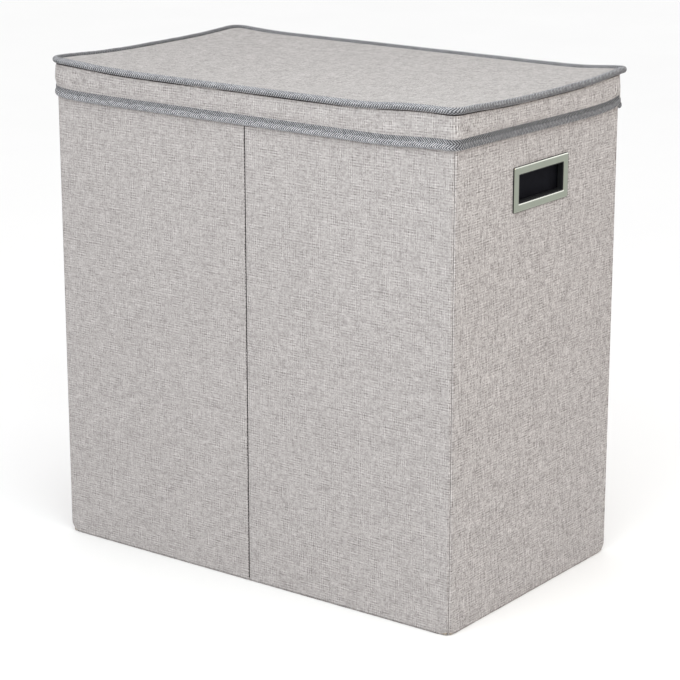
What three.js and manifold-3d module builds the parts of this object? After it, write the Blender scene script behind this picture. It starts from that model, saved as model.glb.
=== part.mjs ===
// Laundry hamper with two bins: a box of cloth-covered boards with a centre wall, a one-piece lid
// with a skirt on a cloth hinge, metal hand-hold frames in both ends and two lift-out liner bags.
// Millimetres, +Z up. The origin is on the floor under the centre of the box, the front faces -Y.

import * as THREE from 'three';
import { mergeVertices } from 'three/addons/utils/BufferGeometryUtils.js';
import Module from 'manifold-3d';

const wasm = await Module();
wasm.setup();

// The box: outside of the cloth, and height to the top of the rim binding
const shellLength = 590;
const shellWidth = 350;
const shellHeight = 603.6;
const shellCornerRadius = 5;

// Gap that is left between pieces that lie against each other
const fit = 0.3;
// Gap between pieces that move past each other
const running = 0.5;

// Layers of a wall, from outside to inside
const clothThickness = 1;
const boardThickness = 2.4;
const liningThickness = 0.6;
const bottomClothThickness = 1.2;
const tapeThickness = 0.7;
const rimTapeDepth = 10;
// Gap between the two halves of the front and back, in the cloth and in the boards behind it
const clothSeamGap = 0.4;
const boardSeamGap = 1.2;

// Loose floor boards
const floorBoardThickness = 2.4;
const floorBoardClearance = 1.5;

// Lid
const lidBoardThickness = 3;
const lidUnderClothThickness = 0.8;
const lidTopClothThickness = 1.2;
const pipingRadius = 4.2;
// The piping's centre lies this far under the face of the lid's top cloth
const pipingTuck = 1;

// Lid skirt, its binding and the hinge strip behind the box
const skirtThickness = 1.5;
const skirtBulge = 1.2;
const bindingHeight = 12;
// Height from the centre of the piping down to the centre of the skirt's binding
const skirtDrop = 36.5;
const bulgeSteps = 4;

// Hand-hold in each end
const handleDrop = 104;
const handleFrameLength = 120;
const handleFrameHeight = 53;
const handleBorder = 11;
const handleFrameThickness = 2.5;
const handleBevel = 0.9;
const handleHoleCorner = 1;
const handleFrameCorner = 1.5;
const sleeveWall = 1.2;
const sleeveFlangeWidth = 8;
const sleeveFlangeThickness = 1.5;

// Liner bags, with their hems, carry loops and hook-and-loop tapes
const bagThickness = 0.8;
const bagDropBelowRim = 8;
const hemHeight = 16;
const hemThickness = 1;
const fastenerThickness = 1;
const fastenerLength = 120;
const fastenerHeight = 20;
const fastenerDrop = 14;
const loopWebbingWidth = 25;
const loopWebbingThickness = 1.6;
const loopGap = 50;
const loopLength = 120;

// Steps on a rounded quarter, and round the piping
const quarterSteps = 6;
const pipingSides = 12;
// How far a cutting body runs past what it cuts
const overrun = 2;
// The skirt's strips meet halfway round a corner
const halfShare = 0.5;

// Heights that follow
const wallFoot = bottomClothThickness + fit;
const wallTop = shellHeight - tapeThickness - fit;
const floorBoardTop = wallFoot + floorBoardThickness;
const lidUnderFace = shellHeight + fit;
const lidBoardFoot = lidUnderFace + lidUnderClothThickness + fit;
const lidTopClothFoot = lidBoardFoot + lidBoardThickness + fit;
const lidTopFace = lidTopClothFoot + lidTopClothThickness;
const seamHeight = lidTopFace - pipingTuck;
const skirtTop = seamHeight - pipingRadius - fit;
const bindingFoot = seamHeight - skirtDrop - bindingHeight / 2;
const bindingTop = bindingFoot + bindingHeight;
const skirtFoot = bindingFoot + tapeThickness + fit;
const handleHeight = seamHeight - handleDrop;

// Distances outward from the shell's outer face, where inward is negative
const rimOuter = fit + tapeThickness;
const skirtLeafInner = rimOuter + running;
const skirtInner = skirtLeafInner + tapeThickness + fit;
const skirtOuter = skirtInner + skirtThickness;
const skirtLeafOuter = skirtOuter + fit + tapeThickness;
const pipingOut = skirtLeafOuter - fit / 2;
const lidPlateOut = pipingOut - pipingRadius - fit;
const hingeStripInner = rimOuter + fit;
const boardOuter = -(clothThickness + fit);
const boardInner = boardOuter - boardThickness;
const liningOuter = boardInner - fit;
const liningInner = liningOuter - liningThickness;

// Half sizes measured from the centre planes
const halfLength = shellLength / 2;
const halfWidth = shellWidth / 2;
const dividerHalf = boardThickness / 2;
const liningAtDivider = dividerHalf + fit;
const fastenerStack = fit + fastenerThickness + fit + fastenerThickness + fit;

const finish = {
  linen: new THREE.MeshStandardMaterial({ color: 0xb8b3b1, roughness: 0.95, metalness: 0 }),
  twill: new THREE.MeshStandardMaterial({ color: 0x85898d, roughness: 0.9, metalness: 0 }),
  board: new THREE.MeshStandardMaterial({ color: 0xa58d6c, roughness: 0.9, metalness: 0 }),
  lining: new THREE.MeshStandardMaterial({ color: 0xa9a7a4, roughness: 0.95, metalness: 0 }),
  nickel: new THREE.MeshStandardMaterial({ color: 0xa2aa98, roughness: 0.32, metalness: 1 }),
  blackPlastic: new THREE.MeshStandardMaterial({ color: 0x141517, roughness: 0.5, metalness: 0 }),
  liner: new THREE.MeshStandardMaterial({ color: 0x1d1e21, roughness: 0.95, metalness: 0 }),
  webbing: new THREE.MeshStandardMaterial({ color: 0x2a2b2e, roughness: 0.9, metalness: 0 }),
};

// The box stands still and the lid turns on it
const hamper = new THREE.Group();
const box = new THREE.Group();
const lid = new THREE.Group();
hamper.add(box, lid);

function add(group, name, geometry, material) {
  const mesh = new THREE.Mesh(geometry, material);
  mesh.name = name;
  group.add(mesh);
}

// A plain box between two corners
function slab(low, high) {
  const size = high.map((value, i) => value - low[i]);
  const geometry = new THREE.BoxGeometry(...size);
  geometry.translate(...high.map((value, i) => (value + low[i]) / 2));
  return geometry;
}

function toSolid(geometry) {
  const bare = geometry.clone();
  bare.deleteAttribute('normal');
  bare.deleteAttribute('uv');
  const merged = mergeVertices(bare);
  const vertProperties = new Float32Array(merged.attributes.position.array);
  const triVerts = new Uint32Array(merged.index.array);
  return new wasm.Manifold(new wasm.Mesh({ numProp: 3, vertProperties, triVerts }));
}

function toGeometry(solid) {
  const mesh = solid.getMesh();
  const geometry = new THREE.BufferGeometry();
  geometry.setAttribute('position', new THREE.BufferAttribute(mesh.vertProperties, mesh.numProp));
  geometry.setIndex(new THREE.BufferAttribute(mesh.triVerts, 1));
  geometry.computeVertexNormals();
  return geometry;
}

function cut(geometry, ...tools) {
  return toGeometry(tools.reduce((solid, tool) => solid.subtract(toSolid(tool)), toSolid(geometry)));
}

function join(geometry, ...others) {
  return toGeometry(others.reduce((solid, other) => solid.add(toSolid(other)), toSolid(geometry)));
}

// Closed rectangle with round corners, as a shape in its own plane
function roundedRectangle(halfX, halfY, radius) {
  const shape = new THREE.Shape();
  shape.moveTo(-halfX + radius, -halfY);
  shape.lineTo(halfX - radius, -halfY);
  shape.absarc(halfX - radius, -halfY + radius, radius, -Math.PI / 2, 0);
  shape.lineTo(halfX, halfY - radius);
  shape.absarc(halfX - radius, halfY - radius, radius, 0, Math.PI / 2);
  shape.lineTo(-halfX + radius, halfY);
  shape.absarc(-halfX + radius, halfY - radius, radius, Math.PI / 2, Math.PI);
  shape.lineTo(-halfX, -halfY + radius);
  shape.absarc(-halfX + radius, -halfY + radius, radius, Math.PI, Math.PI * 3 / 2);
  return shape;
}

function extrude(shape, depth, bevel = 0) {
  return new THREE.ExtrudeGeometry(shape, {
    depth: depth - bevel,
    bevelEnabled: bevel > 0,
    bevelThickness: bevel,
    bevelSize: bevel,
    bevelOffset: -bevel,
    bevelSegments: 1,
    steps: 1,
    curveSegments: quarterSteps,
  });
}

// A flat plate that follows the shell's outline, moved outward, between two heights
function plate(outward, foot, top) {
  const outline = roundedRectangle(
    halfLength + outward, halfWidth + outward, shellCornerRadius + outward);
  const geometry = extrude(outline, top - foot);
  geometry.translate(0, 0, foot);
  return geometry;
}

// Corners of the shell, with the side of each centre plane and the angle where the round begins
const frontLeft = { x: -1, y: -1, turn: Math.PI };
const frontRight = { x: 1, y: -1, turn: Math.PI * 3 / 2 };
const backRight = { x: 1, y: 1, turn: 0 };
const backLeft = { x: -1, y: 1, turn: Math.PI / 2 };

// Points on one rounded corner of the shell, from one share of its quarter turn to another
function cornerArc({ x, y, turn }, startShare, endShare) {
  const centre = new THREE.Vector2(
    x * (halfLength - shellCornerRadius), y * (halfWidth - shellCornerRadius));
  const steps = Math.max(1, Math.round(quarterSteps * (endShare - startShare)));
  const count = endShare > startShare ? steps + 1 : 1;
  return Array.from({ length: count }, (_, i) => {
    const share = startShare + (endShare - startShare) * (i / steps);
    const angle = turn + share * Math.PI / 2;
    const normal = new THREE.Vector2(Math.cos(angle), Math.sin(angle));
    return { point: centre.clone().addScaledVector(normal, shellCornerRadius), normal };
  });
}

// Sweeps a section along a level path. The section is a counter-clockwise list of
// [outward, height] pairs, and outward is measured from the path along its normals.
function sweep(path, section, closed = false) {
  const positions = [];
  for (const { point, normal } of path) {
    for (const [outward, height] of section) {
      const place = point.clone().addScaledVector(normal, outward);
      positions.push(place.x, place.y, height);
    }
  }
  const ring = section.length;
  const indices = [];
  const spans = closed ? path.length : path.length - 1;
  for (let i = 0; i < spans; i += 1) {
    const here = i * ring;
    const next = ((i + 1) % path.length) * ring;
    for (let j = 0; j < ring; j += 1) {
      const k = (j + 1) % ring;
      indices.push(here + j, next + j, next + k);
      indices.push(here + j, next + k, here + k);
    }
  }
  if (!closed) {
    const flat = section.map(([outward, height]) => new THREE.Vector2(outward, height));
    const last = (path.length - 1) * ring;
    for (const [a, b, c] of THREE.ShapeUtils.triangulateShape(flat, [])) {
      indices.push(a, b, c);
      indices.push(last + a, last + c, last + b);
    }
  }
  const geometry = new THREE.BufferGeometry();
  geometry.setAttribute('position', new THREE.Float32BufferAttribute(positions, 3));
  geometry.setIndex(indices);
  geometry.computeVertexNormals();
  return geometry;
}

function rectangleSection(inner, outer, foot, top) {
  return [[inner, foot], [outer, foot], [outer, top], [inner, top]];
}

// A tape folded over the lower edge of a strip, with a leaf on each face of it
function bindingSection(stripInner, stripOuter) {
  const inner = stripInner - fit - tapeThickness;
  const outer = stripOuter + fit + tapeThickness;
  const fold = bindingFoot + tapeThickness;
  return [
    [inner, bindingFoot], [outer, bindingFoot], [outer, bindingTop], [outer - tapeThickness, bindingTop],
    [outer - tapeThickness, fold], [inner + tapeThickness, fold],
    [inner + tapeThickness, bindingTop], [inner, bindingTop],
  ];
}

// The skirt hangs straight inside its binding and swells outward above it
function skirtSection() {
  const rise = Array.from({ length: bulgeSteps + 1 }, (_, i) => {
    const share = i / bulgeSteps;
    const bulge = skirtBulge * Math.sin(share * Math.PI);
    return { bulge, height: THREE.MathUtils.lerp(bindingTop + fit, skirtTop, share) };
  });
  return [
    [skirtInner, skirtFoot], [skirtOuter, skirtFoot],
    ...rise.map(({ bulge, height }) => [skirtOuter + bulge, height]),
    ...rise.toReversed().map(({ bulge, height }) => [skirtInner + bulge, height]),
  ];
}

function circleSection(outward, height, radius, sides) {
  return Array.from({ length: sides }, (_, i) => {
    const angle = (i / sides) * Math.PI * 2;
    return [outward + radius * Math.cos(angle), height + radius * Math.sin(angle)];
  });
}

// Outer cloth: the front and back halves turn the corners, and the ends close the sides
function wallCloth() {
  const section = rectangleSection(-clothThickness, 0, wallFoot, wallTop);
  const atSeam = (x, y) => ({
    point: new THREE.Vector2(x * clothSeamGap / 2, y * halfWidth),
    normal: new THREE.Vector2(0, y),
  });
  const panels = {
    front_left_cloth: [...cornerArc(frontLeft, 0, 1), atSeam(-1, -1)],
    front_right_cloth: [atSeam(1, -1), ...cornerArc(frontRight, 0, 1)],
    back_right_cloth: [...cornerArc(backRight, 0, 1), atSeam(1, 1)],
    back_left_cloth: [atSeam(-1, 1), ...cornerArc(backLeft, 0, 1)],
  };
  for (const [name, path] of Object.entries(panels)) {
    add(box, name, sweep(path, section), finish.linen);
  }
}

// Opening for the hand-hold sleeve through an end wall, as a cutting body
function handleCut(side, clearance) {
  const halfY = handleFrameLength / 2 - handleBorder + sleeveWall + clearance;
  const halfZ = handleFrameHeight / 2 - handleBorder + sleeveWall + clearance;
  const near = side * (halfLength + liningInner - sleeveFlangeThickness - overrun);
  const far = side * (halfLength + overrun);
  return slab(
    [Math.min(near, far), -halfY, handleHeight - halfZ],
    [Math.max(near, far), halfY, handleHeight + halfZ]);
}

// End walls: cloth, board, hand-hold frame and its sleeve
function endWall(name, side) {
  const halfSpan = halfWidth - shellCornerRadius;
  const layer = (outer, inner, halfY) => slab(
    [Math.min(side * (halfLength + outer), side * (halfLength + inner)), -halfY, wallFoot],
    [Math.max(side * (halfLength + outer), side * (halfLength + inner)), halfY, wallTop]);
  const cloth = layer(0, -clothThickness, halfSpan - fit);
  const board = layer(boardOuter, boardInner, halfSpan);
  add(box, `${name}_end_cloth`, cut(cloth, handleCut(side, fit)), finish.linen);
  add(box, `${name}_end_board`, cut(board, handleCut(side, fit)), finish.board);
  add(box, `${name}_handle_frame`, handleFrame(side), finish.nickel);
  add(box, `${name}_handle_sleeve`, handleSleeve(side), finish.blackPlastic);
}

// Stands a shape that was drawn in its own plane against an end wall, facing outward
function faceOutward(geometry, side) {
  geometry.rotateX(Math.PI / 2);
  geometry.rotateZ(side * Math.PI / 2);
  geometry.translate(side * halfLength, 0, handleHeight);
  return geometry;
}

function handleFrame(side) {
  const outline = roundedRectangle(handleFrameLength / 2, handleFrameHeight / 2, handleFrameCorner);
  outline.holes.push(roundedRectangle(
    handleFrameLength / 2 - handleBorder, handleFrameHeight / 2 - handleBorder, handleHoleCorner));
  const bevelled = extrude(outline, handleFrameThickness, handleBevel);
  bevelled.translate(0, 0, fit);
  const behind = slab(
    [-handleFrameLength, -handleFrameLength, -handleFrameThickness],
    [handleFrameLength, handleFrameLength, fit]);
  return faceOutward(cut(bevelled, behind), side);
}

function handleSleeve(side) {
  const holeX = handleFrameLength / 2 - handleBorder;
  const holeZ = handleFrameHeight / 2 - handleBorder;
  const collar = roundedRectangle(holeX + sleeveWall, holeZ + sleeveWall, handleHoleCorner);
  collar.holes.push(roundedRectangle(holeX, holeZ, handleHoleCorner));
  const flangeReach = sleeveWall + sleeveFlangeWidth;
  const flange = roundedRectangle(holeX + flangeReach, holeZ + flangeReach, handleFrameCorner);
  flange.holes.push(roundedRectangle(holeX, holeZ, handleHoleCorner));
  const flangeFace = liningInner - fit;
  const collarBody = extrude(collar, -flangeFace);
  collarBody.translate(0, 0, flangeFace);
  const flangeBody = extrude(flange, sleeveFlangeThickness);
  flangeBody.translate(0, 0, flangeFace - sleeveFlangeThickness);
  return faceOutward(join(collarBody, flangeBody), side);
}

// Boards of the front and back, in halves that meet behind the centre seam, and the divider
function wallBoards() {
  const reach = halfLength - shellCornerRadius;
  const seam = boardSeamGap / 2;
  for (const [name, y] of [['front', -1], ['back', 1]]) {
    const faces = [y * (halfWidth + boardOuter), y * (halfWidth + boardInner)];
    const near = Math.min(...faces);
    const far = Math.max(...faces);
    add(box, `${name}_left_board`, slab([-reach, near, wallFoot], [-seam, far, wallTop]), finish.board);
    add(box, `${name}_right_board`, slab([seam, near, wallFoot], [reach, far, wallTop]), finish.board);
  }
  const dividerReach = halfWidth + boardInner - fit;
  add(box, 'divider_board', slab(
    [-dividerHalf, -dividerReach, wallFoot], [dividerHalf, dividerReach, wallTop]), finish.board);
}

// Hollow box standing between two heights, open at both ends
function sleeveBox(low, high, wall) {
  const inside = slab(
    [low[0] + wall, low[1] + wall, low[2] - overrun], [high[0] - wall, high[1] - wall, high[2] + overrun]);
  return cut(slab(low, high), inside);
}

// A span along X on one side of the divider, in rising order
function binSpan(side, nearDivider, nearEnd) {
  return side > 0 ? [nearDivider, nearEnd] : [-nearEnd, -nearDivider];
}

// One bin: lining, loose floor board and the liner bag with its hem, loops and tapes
function bin(name, side) {
  const liningY = halfWidth + liningOuter;
  const [liningLow, liningHigh] = binSpan(side, liningAtDivider, halfLength + liningOuter);
  const lining = sleeveBox([liningLow, -liningY, wallFoot], [liningHigh, liningY, wallTop], liningThickness);
  add(box, `${name}_lining`, cut(lining, handleCut(side, fit)), finish.lining);

  const insideY = halfWidth + liningInner;
  const insideAtDivider = liningAtDivider + liningThickness;
  const floorY = insideY - floorBoardClearance;
  const [floorLow, floorHigh] = binSpan(
    side, insideAtDivider + floorBoardClearance, halfLength + liningInner - floorBoardClearance);
  add(box, `${name}_floor_board`, slab(
    [floorLow, -floorY, wallFoot], [floorHigh, floorY, floorBoardTop]), finish.lining);

  const bagY = insideY - fastenerStack;
  const bagFoot = floorBoardTop + fit;
  const bagTop = shellHeight - bagDropBelowRim;
  const [bagLow, bagHigh] = binSpan(
    side, insideAtDivider + fastenerStack, halfLength + liningInner - fastenerStack);
  const bagInside = slab(
    [bagLow + bagThickness, -bagY + bagThickness, bagFoot + bagThickness],
    [bagHigh - bagThickness, bagY - bagThickness, bagTop + overrun]);
  const bagOutside = slab([bagLow, -bagY, bagFoot], [bagHigh, bagY, bagTop]);
  add(box, `${name}_liner_bag`, cut(bagOutside, bagInside), finish.liner);

  const hemOut = bagThickness + fit;
  add(box, `${name}_liner_hem`, sleeveBox(
    [bagLow + hemOut, -bagY + hemOut, bagTop - hemHeight],
    [bagHigh - hemOut, bagY - hemOut, bagTop], hemThickness), finish.webbing);

  const centre = (bagLow + bagHigh) / 2;
  const loopY = bagY - bagThickness - fit;
  const loopTop = bagTop - hemHeight - fit;
  for (const [face, y] of [['front', -1], ['back', 1]]) {
    const loop = carryLoop();
    loop.translate(centre, y > 0 ? loopY : -loopY + loopWebbingThickness, loopTop);
    add(box, `${name}_liner_loop_${face}`, loop, finish.webbing);
    const tapeTop = bagTop - fastenerDrop;
    const tape = (nearWall) => {
      const faces = [y * nearWall, y * (nearWall - fastenerThickness)];
      return slab(
        [centre - fastenerLength / 2, Math.min(...faces), tapeTop - fastenerHeight],
        [centre + fastenerLength / 2, Math.max(...faces), tapeTop]);
    };
    add(box, `${name}_hook_tape_${face}`, tape(insideY - fit), finish.webbing);
    add(box, `${name}_loop_tape_${face}`, tape(insideY - fit - fastenerThickness - fit), finish.webbing);
  }
}

// A loop of webbing that hangs flat against the bag, its top ends at height 0, its back face at y 0
function carryLoop() {
  const inner = loopGap / 2;
  const outer = inner + loopWebbingWidth;
  const bend = -(loopLength - outer);
  const shape = new THREE.Shape();
  shape.moveTo(-outer, 0);
  shape.lineTo(-outer, bend);
  shape.absarc(0, bend, outer, Math.PI, Math.PI * 2);
  shape.lineTo(outer, 0);
  shape.lineTo(inner, 0);
  shape.lineTo(inner, bend);
  shape.absarc(0, bend, inner, Math.PI * 2, Math.PI, true);
  shape.lineTo(-inner, 0);
  const geometry = extrude(shape, loopWebbingThickness);
  geometry.rotateX(Math.PI / 2);
  return geometry;
}

// Tape folded over the top of every wall, with one opening for each bin
function rimBinding() {
  const foot = shellHeight - rimTapeDepth;
  const body = plate(rimOuter, foot, shellHeight);
  const walls = plate(fit, foot - overrun, shellHeight - tapeThickness);
  const leaf = fit + tapeThickness;
  const hollows = (inset) => [-1, 1].map((side) => {
    const [low, high] = binSpan(side, liningAtDivider + liningThickness, halfLength + liningInner);
    const y = halfWidth + liningInner - inset;
    return slab([low + inset, -y, wallFoot], [high - inset, y, shellHeight + overrun]);
  });
  const wallSolid = cut(walls, ...hollows(fit));
  add(box, 'rim_binding', cut(body, wallSolid, ...hollows(leaf)), finish.twill);
}

// Lid: board between two cloths, piping round the edge, skirt on three sides
function lidPieces() {
  const layer = (foot, thickness) => plate(lidPlateOut, foot, foot + thickness);
  add(lid, 'lid_under_cloth', layer(lidUnderFace, lidUnderClothThickness), finish.lining);
  add(lid, 'lid_board', layer(lidBoardFoot, lidBoardThickness), finish.board);
  add(lid, 'lid_top_cloth', layer(lidTopClothFoot, lidTopClothThickness), finish.linen);
  const round = [frontLeft, frontRight, backRight, backLeft].flatMap((corner) => cornerArc(corner, 0, 1));
  const pipingSection = circleSection(pipingOut, seamHeight, pipingRadius, pipingSides);
  add(lid, 'lid_piping', sweep(round, pipingSection, true), finish.twill);

  const strips = {
    front: [...cornerArc(frontLeft, halfShare, 1), ...cornerArc(frontRight, 0, halfShare)],
    right: drawnIn([...cornerArc(frontRight, halfShare, 1), ...cornerArc(backRight, 0, 0)]),
    left: drawnIn([...cornerArc(backLeft, 1, 1), ...cornerArc(frontLeft, 0, halfShare)]),
  };
  for (const [name, path] of Object.entries(strips)) {
    add(lid, `lid_skirt_${name}`, sweep(path, skirtSection()), finish.linen);
    add(lid, `skirt_binding_${name}`, sweep(path, bindingSection(skirtInner, skirtOuter)), finish.twill);
  }
}

// Draws both ends of a path in by the gap that neighbours keep
function drawnIn(path) {
  const moved = (end, next) => {
    const step = next.point.clone().sub(end.point).normalize().multiplyScalar(fit);
    return { point: end.point.clone().add(step), normal: end.normal };
  };
  return [moved(path[0], path[1]), ...path.slice(1, -1), moved(path.at(-1), path.at(-2))];
}

// The skirt's back: a strip sewn down to the back panel, which turns both back corners
function hingeStrip() {
  const inner = hingeStripInner;
  const outer = inner + skirtThickness;
  const path = [...cornerArc(backRight, 0, 1), ...cornerArc(backLeft, 0, 1)];
  add(box, 'hinge_strip', sweep(path, rectangleSection(inner, outer, skirtFoot, skirtTop)), finish.linen);
  add(box, 'hinge_strip_binding', sweep(path, bindingSection(inner, outer)), finish.twill);
}

add(box, 'bottom_cloth', plate(0, 0, bottomClothThickness), finish.linen);
wallCloth();
wallBoards();
endWall('left', -1);
endWall('right', 1);
bin('left', -1);
bin('right', 1);
rimBinding();
hingeStrip();
lidPieces();

export default hamper;
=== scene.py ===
"""Dresses the laundry hamper with two bins: cloth over boards, a lid with a piped edge and a skirt,
metal hand-hold frames and dark liner bags, in soft studio light. Metres, +Z up, the front faces -Y."""

import logging
import math
from collections.abc import Callable, Iterable, Sequence
from dataclasses import dataclass, field
from enum import Enum

import bpy
import numpy as np
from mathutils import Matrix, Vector


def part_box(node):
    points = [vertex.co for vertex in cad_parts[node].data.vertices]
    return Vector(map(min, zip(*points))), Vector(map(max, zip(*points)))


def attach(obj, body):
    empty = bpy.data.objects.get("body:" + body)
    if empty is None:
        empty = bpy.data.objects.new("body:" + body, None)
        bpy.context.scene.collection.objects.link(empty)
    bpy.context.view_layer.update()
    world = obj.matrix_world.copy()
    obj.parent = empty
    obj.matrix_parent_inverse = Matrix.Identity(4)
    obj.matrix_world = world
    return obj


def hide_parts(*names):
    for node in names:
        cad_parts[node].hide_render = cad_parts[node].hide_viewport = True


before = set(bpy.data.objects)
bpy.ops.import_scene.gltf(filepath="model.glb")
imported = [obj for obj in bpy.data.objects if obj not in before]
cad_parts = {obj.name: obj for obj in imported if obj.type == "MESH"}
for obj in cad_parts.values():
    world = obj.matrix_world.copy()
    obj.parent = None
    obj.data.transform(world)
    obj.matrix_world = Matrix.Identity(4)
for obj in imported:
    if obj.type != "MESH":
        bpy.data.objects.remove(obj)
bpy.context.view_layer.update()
log = logging.getLogger("hamper")

Piece = bpy.types.Object
Material = bpy.types.Material
Four = tuple[float, float, float, float]
Pair = tuple[float, float]
Profile = tuple[Pair, ...]
Points = np.ndarray

MM = 0.001
WEAVE_MAP = "weave"
CORNER_SIDES = ((-1, -1), (1, -1), (1, 1), (-1, 1))
STATIONS = 8.0
TINY = 1e-9


class Side(Enum):
    """The two ends of the box, with the sign of their X."""

    LEFT = -1
    RIGHT = 1

    @property
    def word(self) -> str:
        """The side as the nodes' names have it."""
        return self.name.lower()


class Calc(Enum):
    """The sums that a material's nodes do."""

    ADD = "ADD"
    TAKE = "SUBTRACT"
    TIMES = "MULTIPLY"
    OVER = "DIVIDE"
    FLOOR = "FLOOR"
    PART = "FRACT"
    SIZE = "ABSOLUTE"
    WAVE = "SINE"
    POWER = "POWER"
    MOST = "MAXIMUM"
    REST = "FLOORED_MODULO"
    ABOVE = "GREATER_THAN"


def shown(red: float, green: float, blue: float) -> Four:
    """Turns a colour as a screen shows it, 0 to 255, into the linear colour that a shader takes.

    Args:
        red: Red as shown.
        green: Green as shown.
        blue: Blue as shown.

    Returns:
        The linear colour, with an alpha of 1.
    """
    shares = [c / 255 for c in (red, green, blue)]
    linear = [s / 12.92 if s <= 0.04045 else ((s + 0.055) / 1.055) ** 2.4 for s in shares]
    return (*linear, 1.0)


def ease(value: np.ndarray | float, low: float, high: float) -> np.ndarray:
    """Rises smoothly from 0 at low to 1 at high.

    Args:
        value: Where to read the rise.
        low: Where it starts.
        high: Where it ends.

    Returns:
        The rise at each value.
    """
    share = np.clip((np.asarray(value, float) - low) / (high - low), 0, 1)
    return share * share * (3 - 2 * share)


@dataclass(frozen=True)
class Waves:
    """One set of soft uneven waves through space, the same each run: their usual length and a seed."""

    length: float
    seed: int
    count: int = 14
    spread: Pair = (0.7, 1.6)
    usual_peak: float = 1.6

    def at(self, places: Points) -> np.ndarray:
        """The waves' height at places.

        Args:
            places: Places, with their coordinates along the last axis.

        Returns:
            A height for each place, mostly between -1 and 1.
        """
        draw = np.random.default_rng(self.seed)
        total = np.zeros(places.shape[:-1])
        for _ in range(self.count):
            heading = draw.normal(size=places.shape[-1])
            heading /= np.linalg.norm(heading)
            stretch = self.length * draw.uniform(*self.spread)
            total += np.sin(places @ heading * (2 * math.pi / stretch) + draw.uniform(0, 2 * math.pi))
        return total * math.sqrt(2 / self.count) / self.usual_peak

    def swells(self, places: Points) -> np.ndarray:
        """The waves as soft swells of 0 to 1 at places."""
        return np.clip(0.5 + 0.5 * self.at(places), 0, 1)


def unrolled(along: np.ndarray, heights: np.ndarray | float, stretch: float = 1.0) -> Points:
    """Places on a strip laid flat: how far along it, and the height times a stretch."""
    return np.stack(np.broadcast_arrays(along, heights * stretch), -1)


def raised(points: Points, normals: Points, outward: np.ndarray | float,
           heights: np.ndarray | float) -> Points:
    """Places in space from places in plan.

    Args:
        points: Places in plan, one a column of the result.
        normals: The way outward at each.
        outward: How far outward each is moved, for a column or for rows of columns.
        heights: How high each lies, in the same way.

    Returns:
        The places, as columns or as rows of columns.
    """
    outward, heights = np.broadcast_arrays(outward, heights)
    flat = points + normals * outward[..., None]
    return np.concatenate([flat, np.broadcast_to(heights[..., None], (*flat.shape[:-1], 1))], -1)


def lengths(points: Points, closed: bool = False) -> np.ndarray:
    """How far along a line each of its points lies, and a closed line's whole length after the last."""
    line = np.concatenate([points, points[:1]]) if closed else points
    return np.concatenate([[0], np.cumsum(np.linalg.norm(np.diff(line, axis=0), axis=1))])


def drawn_in(along: np.ndarray, depth: float, reach: float) -> np.ndarray:
    """How far a strip is drawn in towards both its ends, for each place along it."""
    return depth * (1 - ease(np.minimum(along, along[-1] - along), 0, reach))


def round_turns(count: int) -> np.ndarray:
    """So many equal turns round a circle, in radians."""
    return np.arange(count) * (2 * math.pi / count)


@dataclass(frozen=True)
class Outline:
    """A level rectangle with round corners, walked counter-clockwise from the front left corner.

    Station 0 to 1 is the front left arc, 1 to 2 the front side, 2 to 3 the next arc, and so on to 8.
    """

    half_x: float
    half_y: float
    radii: Four

    def moved(self, outward: float) -> "Outline":
        """The outline moved outward by a distance."""
        radii = tuple(max(r + outward, 0.2 * MM) for r in self.radii)
        return Outline(self.half_x + outward, self.half_y + outward, radii)

    def centre(self, corner: int) -> np.ndarray:
        """The middle of one corner's arc."""
        radius = self.radii[corner]
        return np.array([self.half_x - radius, self.half_y - radius]) * CORNER_SIDES[corner]

    def at(self, stations: np.ndarray) -> tuple[Points, Points]:
        """Places on the outline.

        Args:
            stations: Where along the walk.

        Returns:
            Points and outward normals, one a row.
        """
        w = np.mod(np.asarray(stations, float), STATIONS)
        points, normals = np.zeros((len(w), 2)), np.zeros((len(w), 2))
        for k, radius in enumerate(self.radii):
            start = math.pi * (1 + k / 2)
            turn = (w >= 2 * k) & (w < 2 * k + 1)
            angle = start + (w[turn] - 2 * k) * math.pi / 2
            normals[turn] = np.stack([np.cos(angle), np.sin(angle)], 1)
            points[turn] = self.centre(k) + radius * normals[turn]
            side = (w >= 2 * k + 1) & (w < 2 * k + 2)
            facing = np.array([math.cos(start + math.pi / 2), math.sin(start + math.pi / 2)])
            after = (k + 1) % 4
            a, b = self.centre(k) + radius * facing, self.centre(after) + self.radii[after] * facing
            points[side] = a + (w[side] - 2 * k - 1)[:, None] * (b - a)
            normals[side] = facing
        return points, normals

    def walk(self, start: float, end: float, step: float, turns: int = 8) -> np.ndarray:
        """Stations from start to end, a step apart on the sides and with so many to a quarter turn.

        Args:
            start: First station.
            end: Last station, which may be past 8.
            step: Distance between stations on a side.
            turns: How many parts a whole quarter turn has.

        Returns:
            The stations in rising order.
        """
        stops = [start]
        here = start
        while here < end - TINY:
            whole = math.floor(here + TINY)
            there = min(whole + 1, end)
            if whole % 2 == 0:
                count = max(1, round(turns * (there - here)))
            else:
                ends, _ = self.at(np.array([here + TINY, there - TINY]))
                count = max(1, math.ceil(np.linalg.norm(ends[1] - ends[0]) / step))
            stops.extend(here + (there - here) * (i + 1) / count for i in range(count))
            here = there
        return np.array(stops)


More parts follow.
